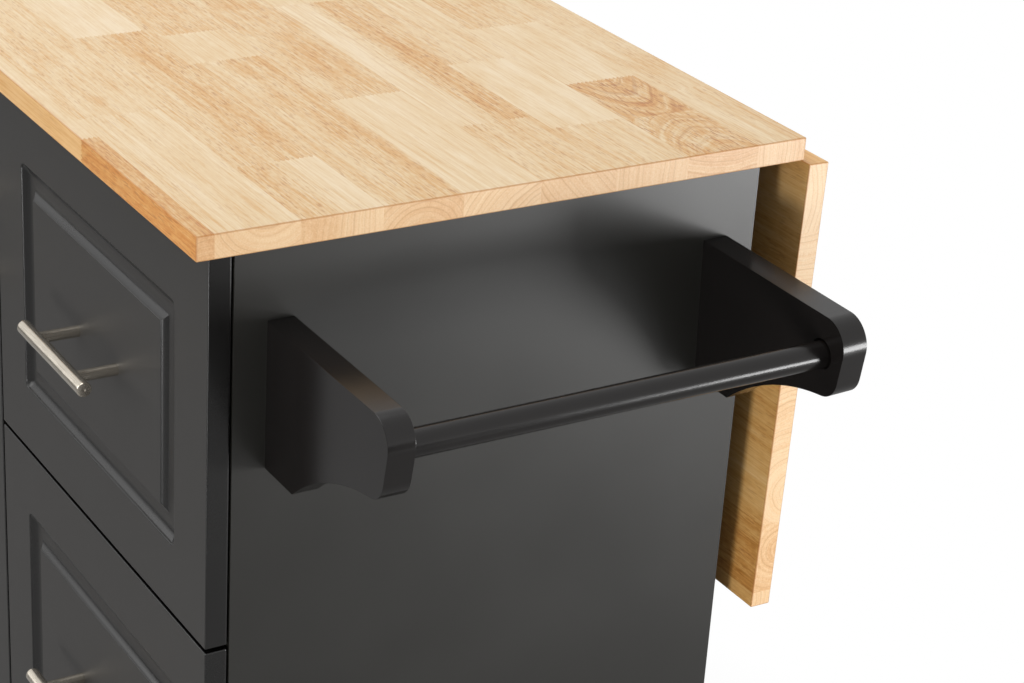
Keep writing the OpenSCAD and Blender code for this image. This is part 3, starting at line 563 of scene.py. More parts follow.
    def _rings(self, wood: Wood, grain: Grain, end: Signal) -> Signal:
        """Draws the year rings as fine lines, where the billet shows them and on the sawn ends.

        Args:
            wood: The billet.
            grain: The patterns.
            end: One on a sawn end, else zero.

        Returns:
            How strong the lines are, from 0 to 1.
        """
        waves = (wood.radius * (math.tau / self.ring_pitch) + grain.bands * 8.0).wave()
        shown = wood.lines.most(end * 0.5)
        return waves.rise(0.62, 1.0) * shown * grain.bands.rise(0.32, 0.62, 0.15, 1.0)


@dataclass(frozen=True)
class SatinPaint(Finish):
    """Sprayed satin black paint over smooth board."""

    name: str = "cabinet_paint_satin"
    slot: Slot = Slot.CABINET_PAINT
    low: str = "1f1e1b"
    high: str = "242320"
    roughness: float = 0.36
    grain: float = 0.00002
    ior: float = 1.5
    flat_roughness: float | None = None
    # The colour of the faces that do not face straight out, the grooves, edges and sides of a front: painted
    # shade.
    groove: str = "100f0e"

    def mix(self, recipe: Recipe) -> None:
        """Builds a near-black film with a faint texture from the spray gun, and with flat_roughness set,
        painted shade on all but its flat faces.

        Args:
            recipe: The recipe to fill.
        """
        broad = recipe.noise(recipe.place, 9.0, 2.0)
        fine = recipe.noise(recipe.place, 900.0, 2.0)
        speck = recipe.noise(recipe.place, 2600.0, 1.0)
        colour = recipe.ramp(broad * 0.5 + fine * 0.5, (0.3, self.low), (0.7, self.high))
        base = self.roughness
        if self.flat_roughness is not None:
            flat = recipe.facing()[1].size().rise(0.93, 0.995)
            base = recipe.blend(self.roughness, self.flat_roughness, flat)
            # Faces that do not face straight out take the darker groove colour: painted shade.
            colour = recipe.tint(shade(self.groove), colour, flat)
        roughness = broad.rise(0.3, 0.7, -0.02, 0.02) + (speck - 0.5) * 0.04 + base
        recipe.set(Base_Color=colour, Roughness=roughness, IOR=self.ior)
        recipe.relief(fine, self.grain, 0.35)


@dataclass(frozen=True)
class BoardFace(Finish):
    """Pale laminated board with a quiet straight grain."""

    name: str = "drawer_board_pale"
    slot: Slot = Slot.DRAWER_BOARD
    scale: Triple = (500.0, 14.0, 500.0)

    def mix(self, recipe: Recipe) -> None:
        """Builds a printed grain with a dry, flat sheen.

        Args:
            recipe: The recipe to fill.
        """
        grain = recipe.noise(recipe.stretched(self.scale), 1.0, 3.0, 0.6)
        coarse = recipe.noise(recipe.stretched(tuple(s * 0.16 for s in self.scale)), 1.0, 2.0, 0.5)
        level = grain * 0.55 + coarse * 0.45
        colour = recipe.ramp(level, (0.25, "e0cfa9"), (0.5, "d3bd92"), (0.78, "bb9f70"))
        recipe.set(Base_Color=colour, Roughness=grain.rise(0.2, 0.8, 0.52, 0.64), IOR=1.45)
        recipe.relief(grain, 0.00005, 0.3)


@dataclass(frozen=True)
class Metal(Finish):
    """A metal with fine drawn lines or a soft mottle."""

    name: str = "brushed_nickel_satin"
    slot: Slot = Slot.BRUSHED_NICKEL
    low: str = "bdb5a8"
    high: str = "d8d0c2"
    roughness: float = 0.22
    scale: Triple = (60.0, 2600.0, 2600.0)
    depth: float = 0.000006

    def mix(self, recipe: Recipe) -> None:
        """Builds the metal with lines along one axis, or an even mottle.

        Args:
            recipe: The recipe to fill.
        """
        lines = recipe.noise(recipe.stretched(self.scale), 1.0, 2.0, 0.6)
        broad = recipe.noise(recipe.place, 60.0, 2.0)
        colour = recipe.ramp(lines * 0.6 + broad * 0.4, (0.3, self.low), (0.7, self.high))
        recipe.set(
            Base_Color=colour,
            Metallic=1.0,
            Roughness=lines.rise(0.25, 0.75, self.roughness - 0.05, self.roughness + 0.07),
        )
        recipe.relief(lines, self.depth, 0.5)


@dataclass(frozen=True)
class Rubber(Finish):
    """Dark rubber or nylon with a dull skin."""

    name: str = "caster_tread_rubber"
    slot: Slot = Slot.CASTER_TREAD
    low: str = "1c1c1d"
    high: str = "2a2a2b"
    roughness: float = 0.62

    def mix(self, recipe: Recipe) -> None:
        """Builds a mottled skin with a broader mottle of dust.

        Args:
            recipe: The recipe to fill.
        """
        skin = recipe.noise(recipe.place, 420.0, 3.0, 0.6)
        dust = recipe.noise(recipe.place, 45.0, 3.0, 0.6)
        colour = recipe.ramp(skin * 0.5 + dust * 0.5, (0.3, self.low), (0.75, self.high))
        roughness = dust.rise(0.3, 0.7, self.roughness - 0.08, self.roughness + 0.1)
        recipe.set(Base_Color=colour, Roughness=roughness)
        recipe.relief(skin, 0.00008, 0.4)


# The same black as the fronts' paint, a few levels darker, to darken the side panel where it lies in shade:
# painted shade.
PAINT = SatinPaint()
INNER_PAINT = SatinPaint(name="cabinet_paint_inside", low="232221", high="2a2927", roughness=0.46)
# The fronts' paint darkens their grooves and edges with painted shade.
FRONT_PAINT = SatinPaint(
    name="cabinet_paint_fronts", low="242220", high="282624", roughness=0.27, flat_roughness=0.5
)
RAIL_PAINT = SatinPaint(
    name="rail_paint_gloss", slot=Slot.RAIL_PAINT, low="141211", high="181514",
    roughness=0.2, grain=0.00003, ior=1.4,
)
BOARD_SIDE = BoardFace()
BOARD_FLOOR = BoardFace(name="drawer_board_floor", scale=(14.0, 500.0, 500.0))
NICKEL_ALONG = Metal()
NICKEL_UP = Metal(name="brushed_nickel_upright", scale=(2600.0, 2600.0, 60.0))
NICKEL_POST = Metal(name="brushed_nickel_posts", scale=(2600.0, 60.0, 2600.0), roughness=0.18)
ZINC = Metal(
    name="zinc_steel_bright", slot=Slot.ZINC_STEEL, low="9a9c9f", high="b6b8ba",
    roughness=0.36, scale=(380.0, 380.0, 380.0), depth=0.00001,
)
CASTER_CHROME = Metal(
    name="caster_steel_plated", slot=Slot.CASTER_STEEL, low="a4a6a8", high="c6c8ca",
    roughness=0.24, scale=(240.0, 240.0, 240.0), depth=0.000008,
)
TREAD = Rubber()
HUB = Rubber(name="caster_hub_nylon", low="2c2d2f", high="37383a", roughness=0.42)
PEDAL = Rubber(name="caster_pedal_nylon", low="1b1b1c", high="242425", roughness=0.4)


class Shape:
    """A mesh in the making, in metres and in the row frame."""

    def __init__(self) -> None:
        """Starts an empty mesh."""
        self.bm = bmesh.new()

    @classmethod
    def of_node(cls, node: str) -> "Shape":
        """Copies a CAD node's mesh, merges it and rejoins its flat faces.

        Args:
            node: The node's name.

        Returns:
            The copy.
        """
        shape = cls()
        shape.bm.from_mesh(frame["nodes"][node].data)
        bmesh.ops.remove_doubles(shape.bm, verts=shape.bm.verts, dist=WELD)
        bmesh.ops.dissolve_limit(
            shape.bm, angle_limit=math.radians(0.4), verts=shape.bm.verts, edges=shape.bm.edges, delimit=set()
        )
        return shape

    def move(self, matrix: Matrix) -> None:
        """Moves the whole mesh."""
        bmesh.ops.transform(self.bm, matrix=matrix, verts=self.bm.verts)

    def bends(self, angle: float) -> Edges:
        """Finds the edges that bend.

        Args:
            angle: The least bend, in degrees.

        Returns:
            The edges that bend by more.
        """
        self.bm.normal_update()
        limit = math.radians(angle)
        return [e for e in self.bm.edges if len(e.link_faces) == 2 and e.calc_face_angle() > limit]

    def bevel(self, edges: Edges, width: float, segments: int = 2) -> Faces:
        """Rounds edges.

        Args:
            edges: The edges to round.
            width: How far the rounding reaches on each side.
            segments: Number of steps across it.

        Returns:
            The new faces.
        """
        done = bmesh.ops.bevel(
            self.bm, geom=edges, offset=width, offset_type="OFFSET", segments=segments, profile=0.5,
            affect="EDGES", clamp_overlap=True, material=-1,
        )
        return done["faces"]

    def spin(self, profile: Profile, axis: Axis, centre: Vector, steps: int, ring: bool = False) -> None:
        """Turns a profile about an axis and adds the closed shape.

        Args:
            profile: Pairs of place along the axis and distance from it.
            axis: The axis to turn about.
            centre: A point on the axis.
            steps: Number of steps round.
            ring: Whether the profile closes on itself; otherwise its ends lie on the axis.
        """
        away = Axis((axis.value + 1) % 3).vector
        points = [self.bm.verts.new(centre + axis.vector * a + away * r) for a, r in profile]
        ahead = points[1:] + (points[:1] if ring else [])
        edges = [self.bm.edges.new(pair) for pair in zip(points, ahead)]
        bmesh.ops.spin(
            self.bm, geom=points + edges, cent=centre, axis=axis.vector, angle=math.tau, steps=steps,
            use_merge=True, use_normal_flip=False, use_duplicate=False,
        )
        bmesh.ops.remove_doubles(self.bm, verts=self.bm.verts, dist=SPIN_WELD)
        bmesh.ops.recalc_face_normals(self.bm, faces=self.bm.faces)

    def finish(
        self,
        name: str,
        body: str,
        finish: Finish,
        stands_for: Iterable[str],
        smooth: float = 35.0,
        bevel: float = 0.0,
    ) -> bpy.types.Object:
        """Makes the object, dresses it and lets it ride on its body.

        Args:
            name: The piece's name.
            body: The CAD body that carries it.
            finish: Its finish.
            stands_for: The CAD nodes that it replaces.
            smooth: Bends above this angle, in degrees, stay sharp.
            bevel: How far the sharp edges are rounded, or 0 for not at all.

        Returns:
            The new object.
        """
        if bevel:
            self.bevel(self.bends(smooth), bevel)
        normals = self._shading(smooth)
        mesh = bpy.data.meshes.new(name)
        self.bm.to_mesh(mesh)
        self.bm.free()
        mesh.normals_split_custom_set(normals)
        piece = bpy.data.objects.new(name, mesh)
        bpy.context.scene.collection.objects.link(piece)
        mesh.materials.append(finish.material())
        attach(piece, body)
        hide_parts(*stands_for)
        LOG.info("made %s with %d faces", name, len(mesh.polygons))
        return piece

    def _shading(self, smooth: float) -> list[Vector]:
        """Marks the sharp edges and works out a normal for each corner of each face.

        A large face keeps its own normal, because each face counts by its area.

        Args:
            smooth: Bends above this angle, in degrees, stay sharp.

        Returns:
            The normals, in the order of the corners.
        """
        self.bm.normal_update()
        limit = math.radians(smooth)
        for edge in self.bm.edges:
            edge.smooth = len(edge.link_faces) == 2 and edge.calc_face_angle() <= limit
        areas = {face: face.calc_area() for face in self.bm.faces}
        normals = []
        for face in self.bm.faces:
            face.smooth = True
            for corner in face.loops:
                fan = self._fan(face, corner.vert)
                total = sum((f.normal * areas[f] for f in fan), Vector())
                normals.append(total.normalized() if total.length > 1e-12 else face.normal.copy())
        return normals

    @staticmethod
    def _fan(face: bmesh.types.BMFace, vert: bmesh.types.BMVert) -> set[bmesh.types.BMFace]:
        """Finds the faces round a point that a face runs into smoothly.

        Args:
            face: The face.
            vert: One of its points.

        Returns:
            The faces, with the face itself.
        """
        pairs = [set(edge.link_faces) for edge in vert.link_edges if edge.smooth]
        fan = {face}
        size = 0
        while size != len(fan):
            size = len(fan)
            for pair in pairs:
                if fan & pair:
                    fan |= pair
        return fan


def body_of(node: str) -> str:
    """Finds the body that carries a CAD node.

    Args:
        node: The node's name.

    Returns:
        The body's name.
    """
    for body, nodes in frame["record"]["behaviour"]["bodies"].items():
        if node in nodes:
            return body
    raise KeyError(node)


def dress(finish: Finish, *nodes: str) -> None:
    """Gives CAD nodes a finish where they stand.

    Args:
        finish: The finish.
        nodes: The nodes' names.
    """
    for node in nodes:
        piece = frame["nodes"][node]
        if not piece.material_slots:
            piece.data.materials.append(None)
        for place in piece.material_slots:
            place.material = finish.material()
        LOG.info("dressed %s with %s", node, finish.name)


def ease(finish: Finish, width: float, *nodes: str, angle: float = 35.0) -> None:
    """Replaces CAD nodes by copies with eased edges.

    Args:
        finish: The finish.
        width: Width of the eased edges, in metres.
        nodes: The nodes' names.
        angle: Bends above this angle, in degrees, are eased.
    """
    for node in nodes:
        shape = Shape.of_node(node)
        shape.finish(node + "_eased", body_of(node), finish, (node,), smooth=angle, bevel=width)


@dataclass(frozen=True)
class Billet:
    """One length of timber in a stave: where it ends and how it looks.

    Sizes are in millimetres, from the board's right end. The last billet runs to the left end. The heart
    is the middle of the tree, across and up from the stave's middle.
    """

    end: float
    front: float
    back: float
    heart: tuple[float, float] = (0.0, -70.0)
    slope: float = 0.0
    lines: float = 0.0


@dataclass(frozen=True)
class Stave:
    """One row of billets between two glue lines, numbered from the board's right end.

    Its low and high are the corners of the space that it fills.
    """

    number: int
    billets: list[Billet]
    low: Vector
    high: Vector
    upright: bool
    beyond: float = 1.0

    def joints(self) -> list[float]:
        """Where the billets meet, from the board's right end to its left end."""
        ends = [self.high.x - billet.end * MILLIMETRE for billet in self.billets[:-1]]
        return [self.high.x, *ends, self.low.x]

    def middles(self) -> list[float]:
        """The middle of each billet along the board."""
        joints = self.joints()
        return [(start + end) / 2 for start, end in zip(joints, joints[1:])]

    def faces(self, shape: Shape) -> Faces:
        """Finds the faces of a board that lie in this stave.

        Args:
            shape: The board.

        Returns:
            The faces.
        """
        k = Axis.Z.value if self.upright else Axis.Y.value
        low = self.low[k] - WELD
        high = self.high[k] + WELD
        return [face for face in shape.bm.faces if low < face.calc_center_median()[k] < high]

    def marks(self, place: float) -> dict[Mark, Vector]:
        """Tells a cell's finish what it needs.

        A cell runs from the middle of a billet to the middle of the next, with their joint in it. The
        first and last cells hold half a billet, and their joint is put far beyond the board.

        Args:
            place: A place in the cell, along the board.

        Returns:
            What each layer holds there.
        """
        cell = sum(1 for middle in self.middles() if place < middle)
        joints = self.joints()
        joints[0] += self.beyond
        joints[-1] -= self.beyond
        left = min(cell, len(self.billets) - 1)
        right = max(cell - 1, 0)
        return {
            Mark.JOINT: Vector((joints[cell], self.billets[left].lines, self.billets[right].lines)),
            Mark.LEFT_TONE: self._tone(left),
            Mark.RIGHT_TONE: self._tone(right),
            Mark.LEFT_HEART: self._heart(left),
            Mark.RIGHT_HEART: self._heart(right),
            Mark.EDGE: Vector(),
        }

    def _tone(self, billet: int) -> Vector:
        """A billet's tones and its seed."""
        seed = (self.number * 7.31 + billet * 3.17) % 11.0
        return Vector((self.billets[billet].front, self.billets[billet].back, seed))

    def _heart(self, billet: int) -> Vector:
        """The place of the tree's middle for a billet, and its slope.

        Args:
            billet: The billet's number.

        Returns:
            The place from front to back, the height and the slope.
        """
        across, up = [part * MILLIMETRE for part in self.billets[billet].heart]
        middle = (self.low + self.high) / 2
        slope = self.billets[billet].slope
        if self.upright:
            return Vector((middle.y + up, middle.z + across, slope))
        return Vector((middle.y + across, middle.z + up, slope))


@dataclass
class StaveBoard:
    """A board glued up from staves, cut from a CAD node's shape."""

    node: str
    finish: ButcherBlock
    rows: list[list[Billet]]
    first: float = FIRST_STAVE
    pitch: float = STAVE_PITCH
    edge_round: float = 0.0008
    edge_steps: int = 3
    outer_bend: float = 60.0
    flush: float = 1e-5
    smooth: float = 50.0
    hang: Matrix | None = None
    upright: bool = False

    def build(self) -> bpy.types.Object:
        """Cuts the board at its joints, marks each cell and rounds the edges.

        Returns:
            The finished piece.
        """
        shape = Shape.of_node(self.node)
        if self.hang is not None:
            shape.move(self.hang)
        low, high = self._box(shape)
        staves = self._staves(low, high)
        axis = Axis.Z if self.upright else Axis.Y
        for stave in staves[1:]:
            self._cut(shape, shape.bm.faces, axis.vector * stave.low[axis.value], axis.vector)
        for mark in Mark:
            shape.bm.faces.layers.float_vector.new(mark.value)
        for stave in staves:
            self._mark(shape, stave)
        self._round(shape, low, high)
        if self.hang is not None:
            shape.move(self.hang.inverted())
        name = self.node + "_staves"
        return shape.finish(name, body_of(self.node), self.finish, (self.node,), smooth=self.smooth)

    @staticmethod
    def _box(shape: Shape) -> tuple[Vector, Vector]:
        """Finds the corners of a shape's box.

        Args:
            shape: The shape.

        Returns:
            The lowest and the highest corner.
        """
        points = [v.co for v in shape.bm.verts]
        low = Vector([min(p[k] for p in points) for k in range(3)])
        high = Vector([max(p[k] for p in points) for k in range(3)])
        return low, high

    def _staves(self, low: Vector, high: Vector) -> list[Stave]:
        """Divides the board at its glue lines.

        Args:
            low: The board's lowest corner.
            high: Its highest corner.

        Returns:
            The staves, from the front or the foot.
        """
        k = Axis.Z.value if self.upright else Axis.Y.value
        lines = [low[k] + self.first + self.pitch * i for i in range(len(self.rows) - 1)]
        lines = [low[k], *lines, high[k]]
        staves = []
        for number, row in enumerate(self.rows):
            start, stop = low.copy(), high.copy()
            start[k] = lines[number]
            stop[k] = lines[number + 1]
            staves.append(Stave(number, row, start, stop, self.upright))
        return staves

    @staticmethod
    def _cut(shape: Shape, faces: Iterable[bmesh.types.BMFace], point: Vector, normal: Vector) -> None:
        """Scores a plane across some faces.

        Args:
            shape: The board.
            faces: The faces to score.
            point: A point on the plane.
            normal: The plane's direction.
        """
        faces = list(faces)
        edges = list({e for f in faces for e in f.edges})
        verts = list({v for f in faces for v in f.verts})
        geometry = verts + edges + faces
        bmesh.ops.bisect_plane(shape.bm, geom=geometry, dist=WELD, plane_co=point, plane_no=normal)

    def _mark(self, shape: Shape, stave: Stave) -> None:
        """Cuts one stave at the middles of its billets and marks the cells.

        Args:
            shape: The board.
            stave: The stave.
        """
        for middle in stave.middles():
            self._cut(shape, stave.faces(shape), Vector((middle, 0, 0)), Axis.X.vector)
        layers = shape.bm.faces.layers.float_vector
        for face in stave.faces(shape):
            for mark, value in stave.marks(face.calc_center_median().x).items():
                face[layers[mark.value]] = value

    def _round(self, shape: Shape, low: Vector, high: Vector) -> None:
        """Rounds the board's outer edges and marks the new faces.

        Args:
            shape: The board.
            low: The board's lowest corner.
            high: Its highest corner.
        """
        edges = [edge for edge in shape.bends(self.outer_bend) if self._outer(edge, low, high)]
        layer = shape.bm.faces.layers.float_vector[Mark.EDGE.value]
        for face in shape.bevel(edges, self.edge_round, self.edge_steps):
            if face.is_valid:
                face[layer] = Axis.X.vector

    def _outer(self, edge: bmesh.types.BMEdge, low: Vector, high: Vector) -> bool:
        """Tells whether an edge lies where two outer sides of the board meet.

        Args:
            edge: The edge.
            low: The board's lowest corner.
            high: Its highest corner.

        Returns:
            Whether it lies there.
        """
        ends = [v.co for v in edge.verts]
        sides = [(k, side[k]) for k in range(3) for side in (low, high)]
        return sum(all(abs(end[k] - level) < self.flush for end in ends) for k, level in sides) >= 2


@dataclass(frozen=True)
class Loop:
    """A rounded rectangle that stands upright in a front."""

    half_x: float
    half_z: float
    y: float
    corner: float


@dataclass
class RoutedFront:
    """A drawer front or door with a routed ring round a flat panel.

    A shoulder's rows hold the distance in from the groove's edge and the depth; the outer one's also hold
    what is added to the corner's radius. Through the bowl that radius shrinks to nothing.
    """

    node: str
    stile: float = 0.0475
    rail: float = 0.049
    groove: float = 0.021
    depth: float = 0.005
    corner_steps: int = 6
    edge_round: float = 0.0009
    edge_steps: int = 6
    support: float = 0.0005
    groove_corner: float = 0.005
    corner_loss: float = 2.2
    bowl_steps: int = 12
    bowl_lip: float = 0.0012
    bowl_edges: tuple[float, float] = (0.0009, 0.0007)
    outer_shoulder: tuple[Triple, ...] = (
        (-0.0011, 0.0, 0.0008), (-0.0006, 0.0, 0.0004), (-0.00025, 0.00007, 0.0),
        (0.00005, 0.0003, 0.0), (0.00025, 0.0007, 0.0), (0.00045, 0.0011, -0.00025),
    )
    inner_shoulder: tuple[tuple[float, float], ...] = (
        (-0.0004, 0.0006), (-0.0002, 0.0003), (0.0, 0.0001), (0.00035, 0.0), (0.00085, 0.0),
    )
    smooth: float = 32.0

    def build(self) -> bpy.types.Object:
        """Grows one rounded loop from the back, over the edges and through the groove.

        Returns:
            The finished piece.
        """
        low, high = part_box(self.node)
        centre = (low + high) / 2
        half = (high - low) / 2
        first, *others = self._outside(half, low.y, high.y) + self._inside(half, low.y)
        shape = Shape()
        count = 4 * self.corner_steps
        points = bmesh.ops.create_circle(shape.bm, cap_ends=False, radius=1.0, segments=count)["verts"]
        points.sort(key=lambda v: math.atan2(v.co.y, v.co.x) % math.tau)
        self._lay(points, centre, first)
        self._cap(shape, points)
        for loop in others:
            points = self._grow(shape, points)
            self._lay(points, centre, loop)
        self._cap(shape, points)
        bmesh.ops.remove_doubles(shape.bm, verts=shape.bm.verts, dist=WELD)
        bmesh.ops.recalc_face_normals(shape.bm, faces=shape.bm.faces)
        name = self.node + "_routed"
        return shape.finish(name, body_of(self.node), FRONT_PAINT, (self.node,), smooth=self.smooth)

    def _outside(self, half: Vector, face: float, back: float) -> list[Loop]:
        """Plans the loops from the back's rim round the edges onto the face.

        Args:
            half: Half the front's size.
            face: Where its face is.
            back: Where its back is.

        Returns:
            The loops in order.
        """
        r, flat = self.edge_round, self.support
        rows = [(r + flat, back, 0.0), (r, back, 0.0), (0.3 * r, back - 0.3 * r, 0.7 * r)]
        rows += [(0.0, back - r, r), (0.0, back - r - flat, r), (0.0, face + r + flat, r)]
        for step in range(self.edge_steps + 1):
            turn = math.pi / 2 * step / self.edge_steps
            rows.append((r * (1 - math.cos(turn)), face + r * (1 - math.sin(turn)), r * math.cos(turn)))
        rows.append((r + flat, face, 0.0))
        return [Loop(half.x - inset, half.z - inset, y, corner) for inset, y, corner in rows]

    def _inside(self, half: Vector, face: float) -> list[Loop]:
        """Plans the loops over the groove's outer shoulder, through its bowl and over its inner one.

        Args:
            half: Half the front's size.
            face: Where its face is.

        Returns:
            The loops in order.
        """
        rows = [(across, down, self.groove_corner + more) for across, down, more in self.outer_shoulder]
        width = self.groove - sum(self.bowl_edges)
        for step in range(self.bowl_steps + 1):
            part = step / self.bowl_steps
            down = self.bowl_lip + (self.depth - self.bowl_lip) * (1 - (2 * part - 1) ** 2)
            corner = max(self.groove_corner * (1 - part * self.corner_loss), 0.0)
            rows.append((self.bowl_edges[0] + part * width, down, corner))
        rows += [(self.groove + across, down, 0.0) for across, down in self.inner_shoulder]
        x, z = half.x - self.stile, half.z - self.rail
        return [Loop(x - across, z - across, face + down, corner) for across, down, corner in rows]

    @staticmethod
    def _edges(shape: Shape, points: Points) -> Edges:
        """The edges between a loop's points."""
        return [shape.bm.edges.get(pair) for pair in zip(points, points[1:] + points[:1])]

    def _cap(self, shape: Shape, points: Points) -> None:
        """Fills a loop with one face."""
        bmesh.ops.contextual_create(shape.bm, geom=self._edges(shape, points))

    def _grow(self, shape: Shape, points: Points) -> Points:
        """Extrudes a loop.

        Args:
            shape: The front.
            points: The loop's points.

        Returns:
            The new points in the same order.
        """
        made = bmesh.ops.extrude_edge_only(shape.bm, edges=self._edges(shape, points))["geom"]
        new = {v for v in made if isinstance(v, bmesh.types.BMVert)}
        return [next(e.other_vert(v) for e in v.link_edges if e.other_vert(v) in new) for v in points]

    def _lay(self, points: Points, centre: Vector, loop: Loop) -> None:
        """Lays points out along a loop.

        Args:
            points: The points in order.
            centre: The front's middle.
            loop: The loop.
        """
        for i, point in enumerate(points):
            quarter, step = divmod(i, self.corner_steps)
            angle = math.radians(90 * quarter + 90 * step / (self.corner_steps - 1))
            side_x = 1 if quarter in (0, 3) else -1
            side_z = 1 if quarter in (0, 1) else -1
            point.co = Vector((
                centre.x + side_x * (loop.half_x - loop.corner) + loop.corner * math.cos(angle),
                loop.y,
                centre.z + side_z * (loop.half_z - loop.corner) + loop.corner * math.sin(angle),
            ))


@dataclass
class BarHandle:
    """A round bar on two posts, with the screws that hold it."""

    node: str
    upright: bool = False
    diameter: float = 0.010
    post: float = 0.008
    pitch: float = 0.064
    chamfer: float = 0.0006
    dimple: float = 0.0009
    dimple_deep: float = 0.0003
    front: float = 0.015
    overlap: float = 0.0002
    head: float = 0.007
    head_high: float = 0.002
    bar_steps: int = 40
    post_steps: int = 28
    head_steps: int = 24
    smooth: float = 40.0

    def build(self) -> bpy.types.Object:
        """Spins the bar, its posts and its screw heads.

        Returns:
            The finished bar.
        """
        low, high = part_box(self.node)
        axis = Axis.Z if self.upright else Axis.X
        centre = (low + high) / 2
        centre.y = low.y + self.diameter / 2
        reach = high.y - self.head_high - self.front - centre.y
        posts = Shape()
        for sign in (-1, 1):
            foot = centre + axis.vector * (sign * self.pitch / 2)
            seat = foot + Axis.Y.vector * (reach + self.front)
            posts.spin(self._post(reach), Axis.Y, foot, self.post_steps)
            posts.spin(self._screw_head(), Axis.Y, seat, self.head_steps)
        body = body_of(self.node)
        posts.finish(self.node + "_posts", body, NICKEL_POST, (self.node,), smooth=self.smooth)
        bar = Shape()
        half = (high[axis.value] - low[axis.value]) / 2
        bar.spin(self._bar(half), axis, centre, self.bar_steps)
        finish = NICKEL_UP if self.upright else NICKEL_ALONG
        return bar.finish(self.node + "_turned", body, finish, (self.node,), smooth=self.smooth)

    def _bar(self, half: float) -> Profile:
        """Draws the bar's outline, with a shallow dimple in each end.

        Args:
            half: Half the bar's length.

        Returns:
            The outline from one end to the other.
        """
        r, c, q, deep = self.diameter / 2, self.chamfer, self.dimple, self.dimple_deep
        end = [(half - deep, 0.0), (half - deep * 0.9, q * 0.45), (half - deep / 6, q), (half, q * 1.25)]
        end += [(half, r - c), (half - c * 0.3, r - c * 0.28), (half - c, r), (half - 4 * c, r)]
        return [(-a, b) for a, b in end] + end[::-1]

    def _post(self, reach: float) -> Profile:
        """Draws a post's outline, from the middle of the bar into the front."""
        r, end = self.post / 2, reach + self.overlap
        return [(0.0, 0.0), (0.0, r), (end, r), (end, 0.0)]

    def _screw_head(self) -> Profile:
        """Draws a domed screw head with a recess.

        Returns:
            The head's outline.
        """
        r, t = self.head / 2, self.head_high
        dome = [(0.0, 0.0), (0.0, r * 0.96), (t * 0.35, r), (t * 0.75, r * 0.8), (t, r * 0.4)]
        return dome + [(t * 0.55, r * 0.22), (t * 0.5, 0.0)]


@dataclass
class TowelRail:
    """The two brackets and the bar between them."""

    edge_round: float = 0.0016
    edge_bend: float = 28.0
    bar_diameter: float = 0.0175
    bar_steps: int = 64
    smooth: float = 40.0

    def build(self) -> None:
        """Eases the brackets' edges and turns a smooth bar."""
        for node in ("towel_bracket_front", "towel_bracket_rear"):
            ease(RAIL_PAINT, self.edge_round, node, angle=self.edge_bend)
        low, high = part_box("towel_bar")
        half = (high.y - low.y) / 2
        r = self.bar_diameter / 2
        shape = Shape()
        profile = [(-half, 0), (-half, r), (half, r), (half, 0)]
        shape.spin(profile, Axis.Y, (low + high) / 2, self.bar_steps)
        body = body_of("towel_bar")
        shape.finish("towel_bar_turned", body, RAIL_PAINT, ("towel_bar",), smooth=self.smooth)


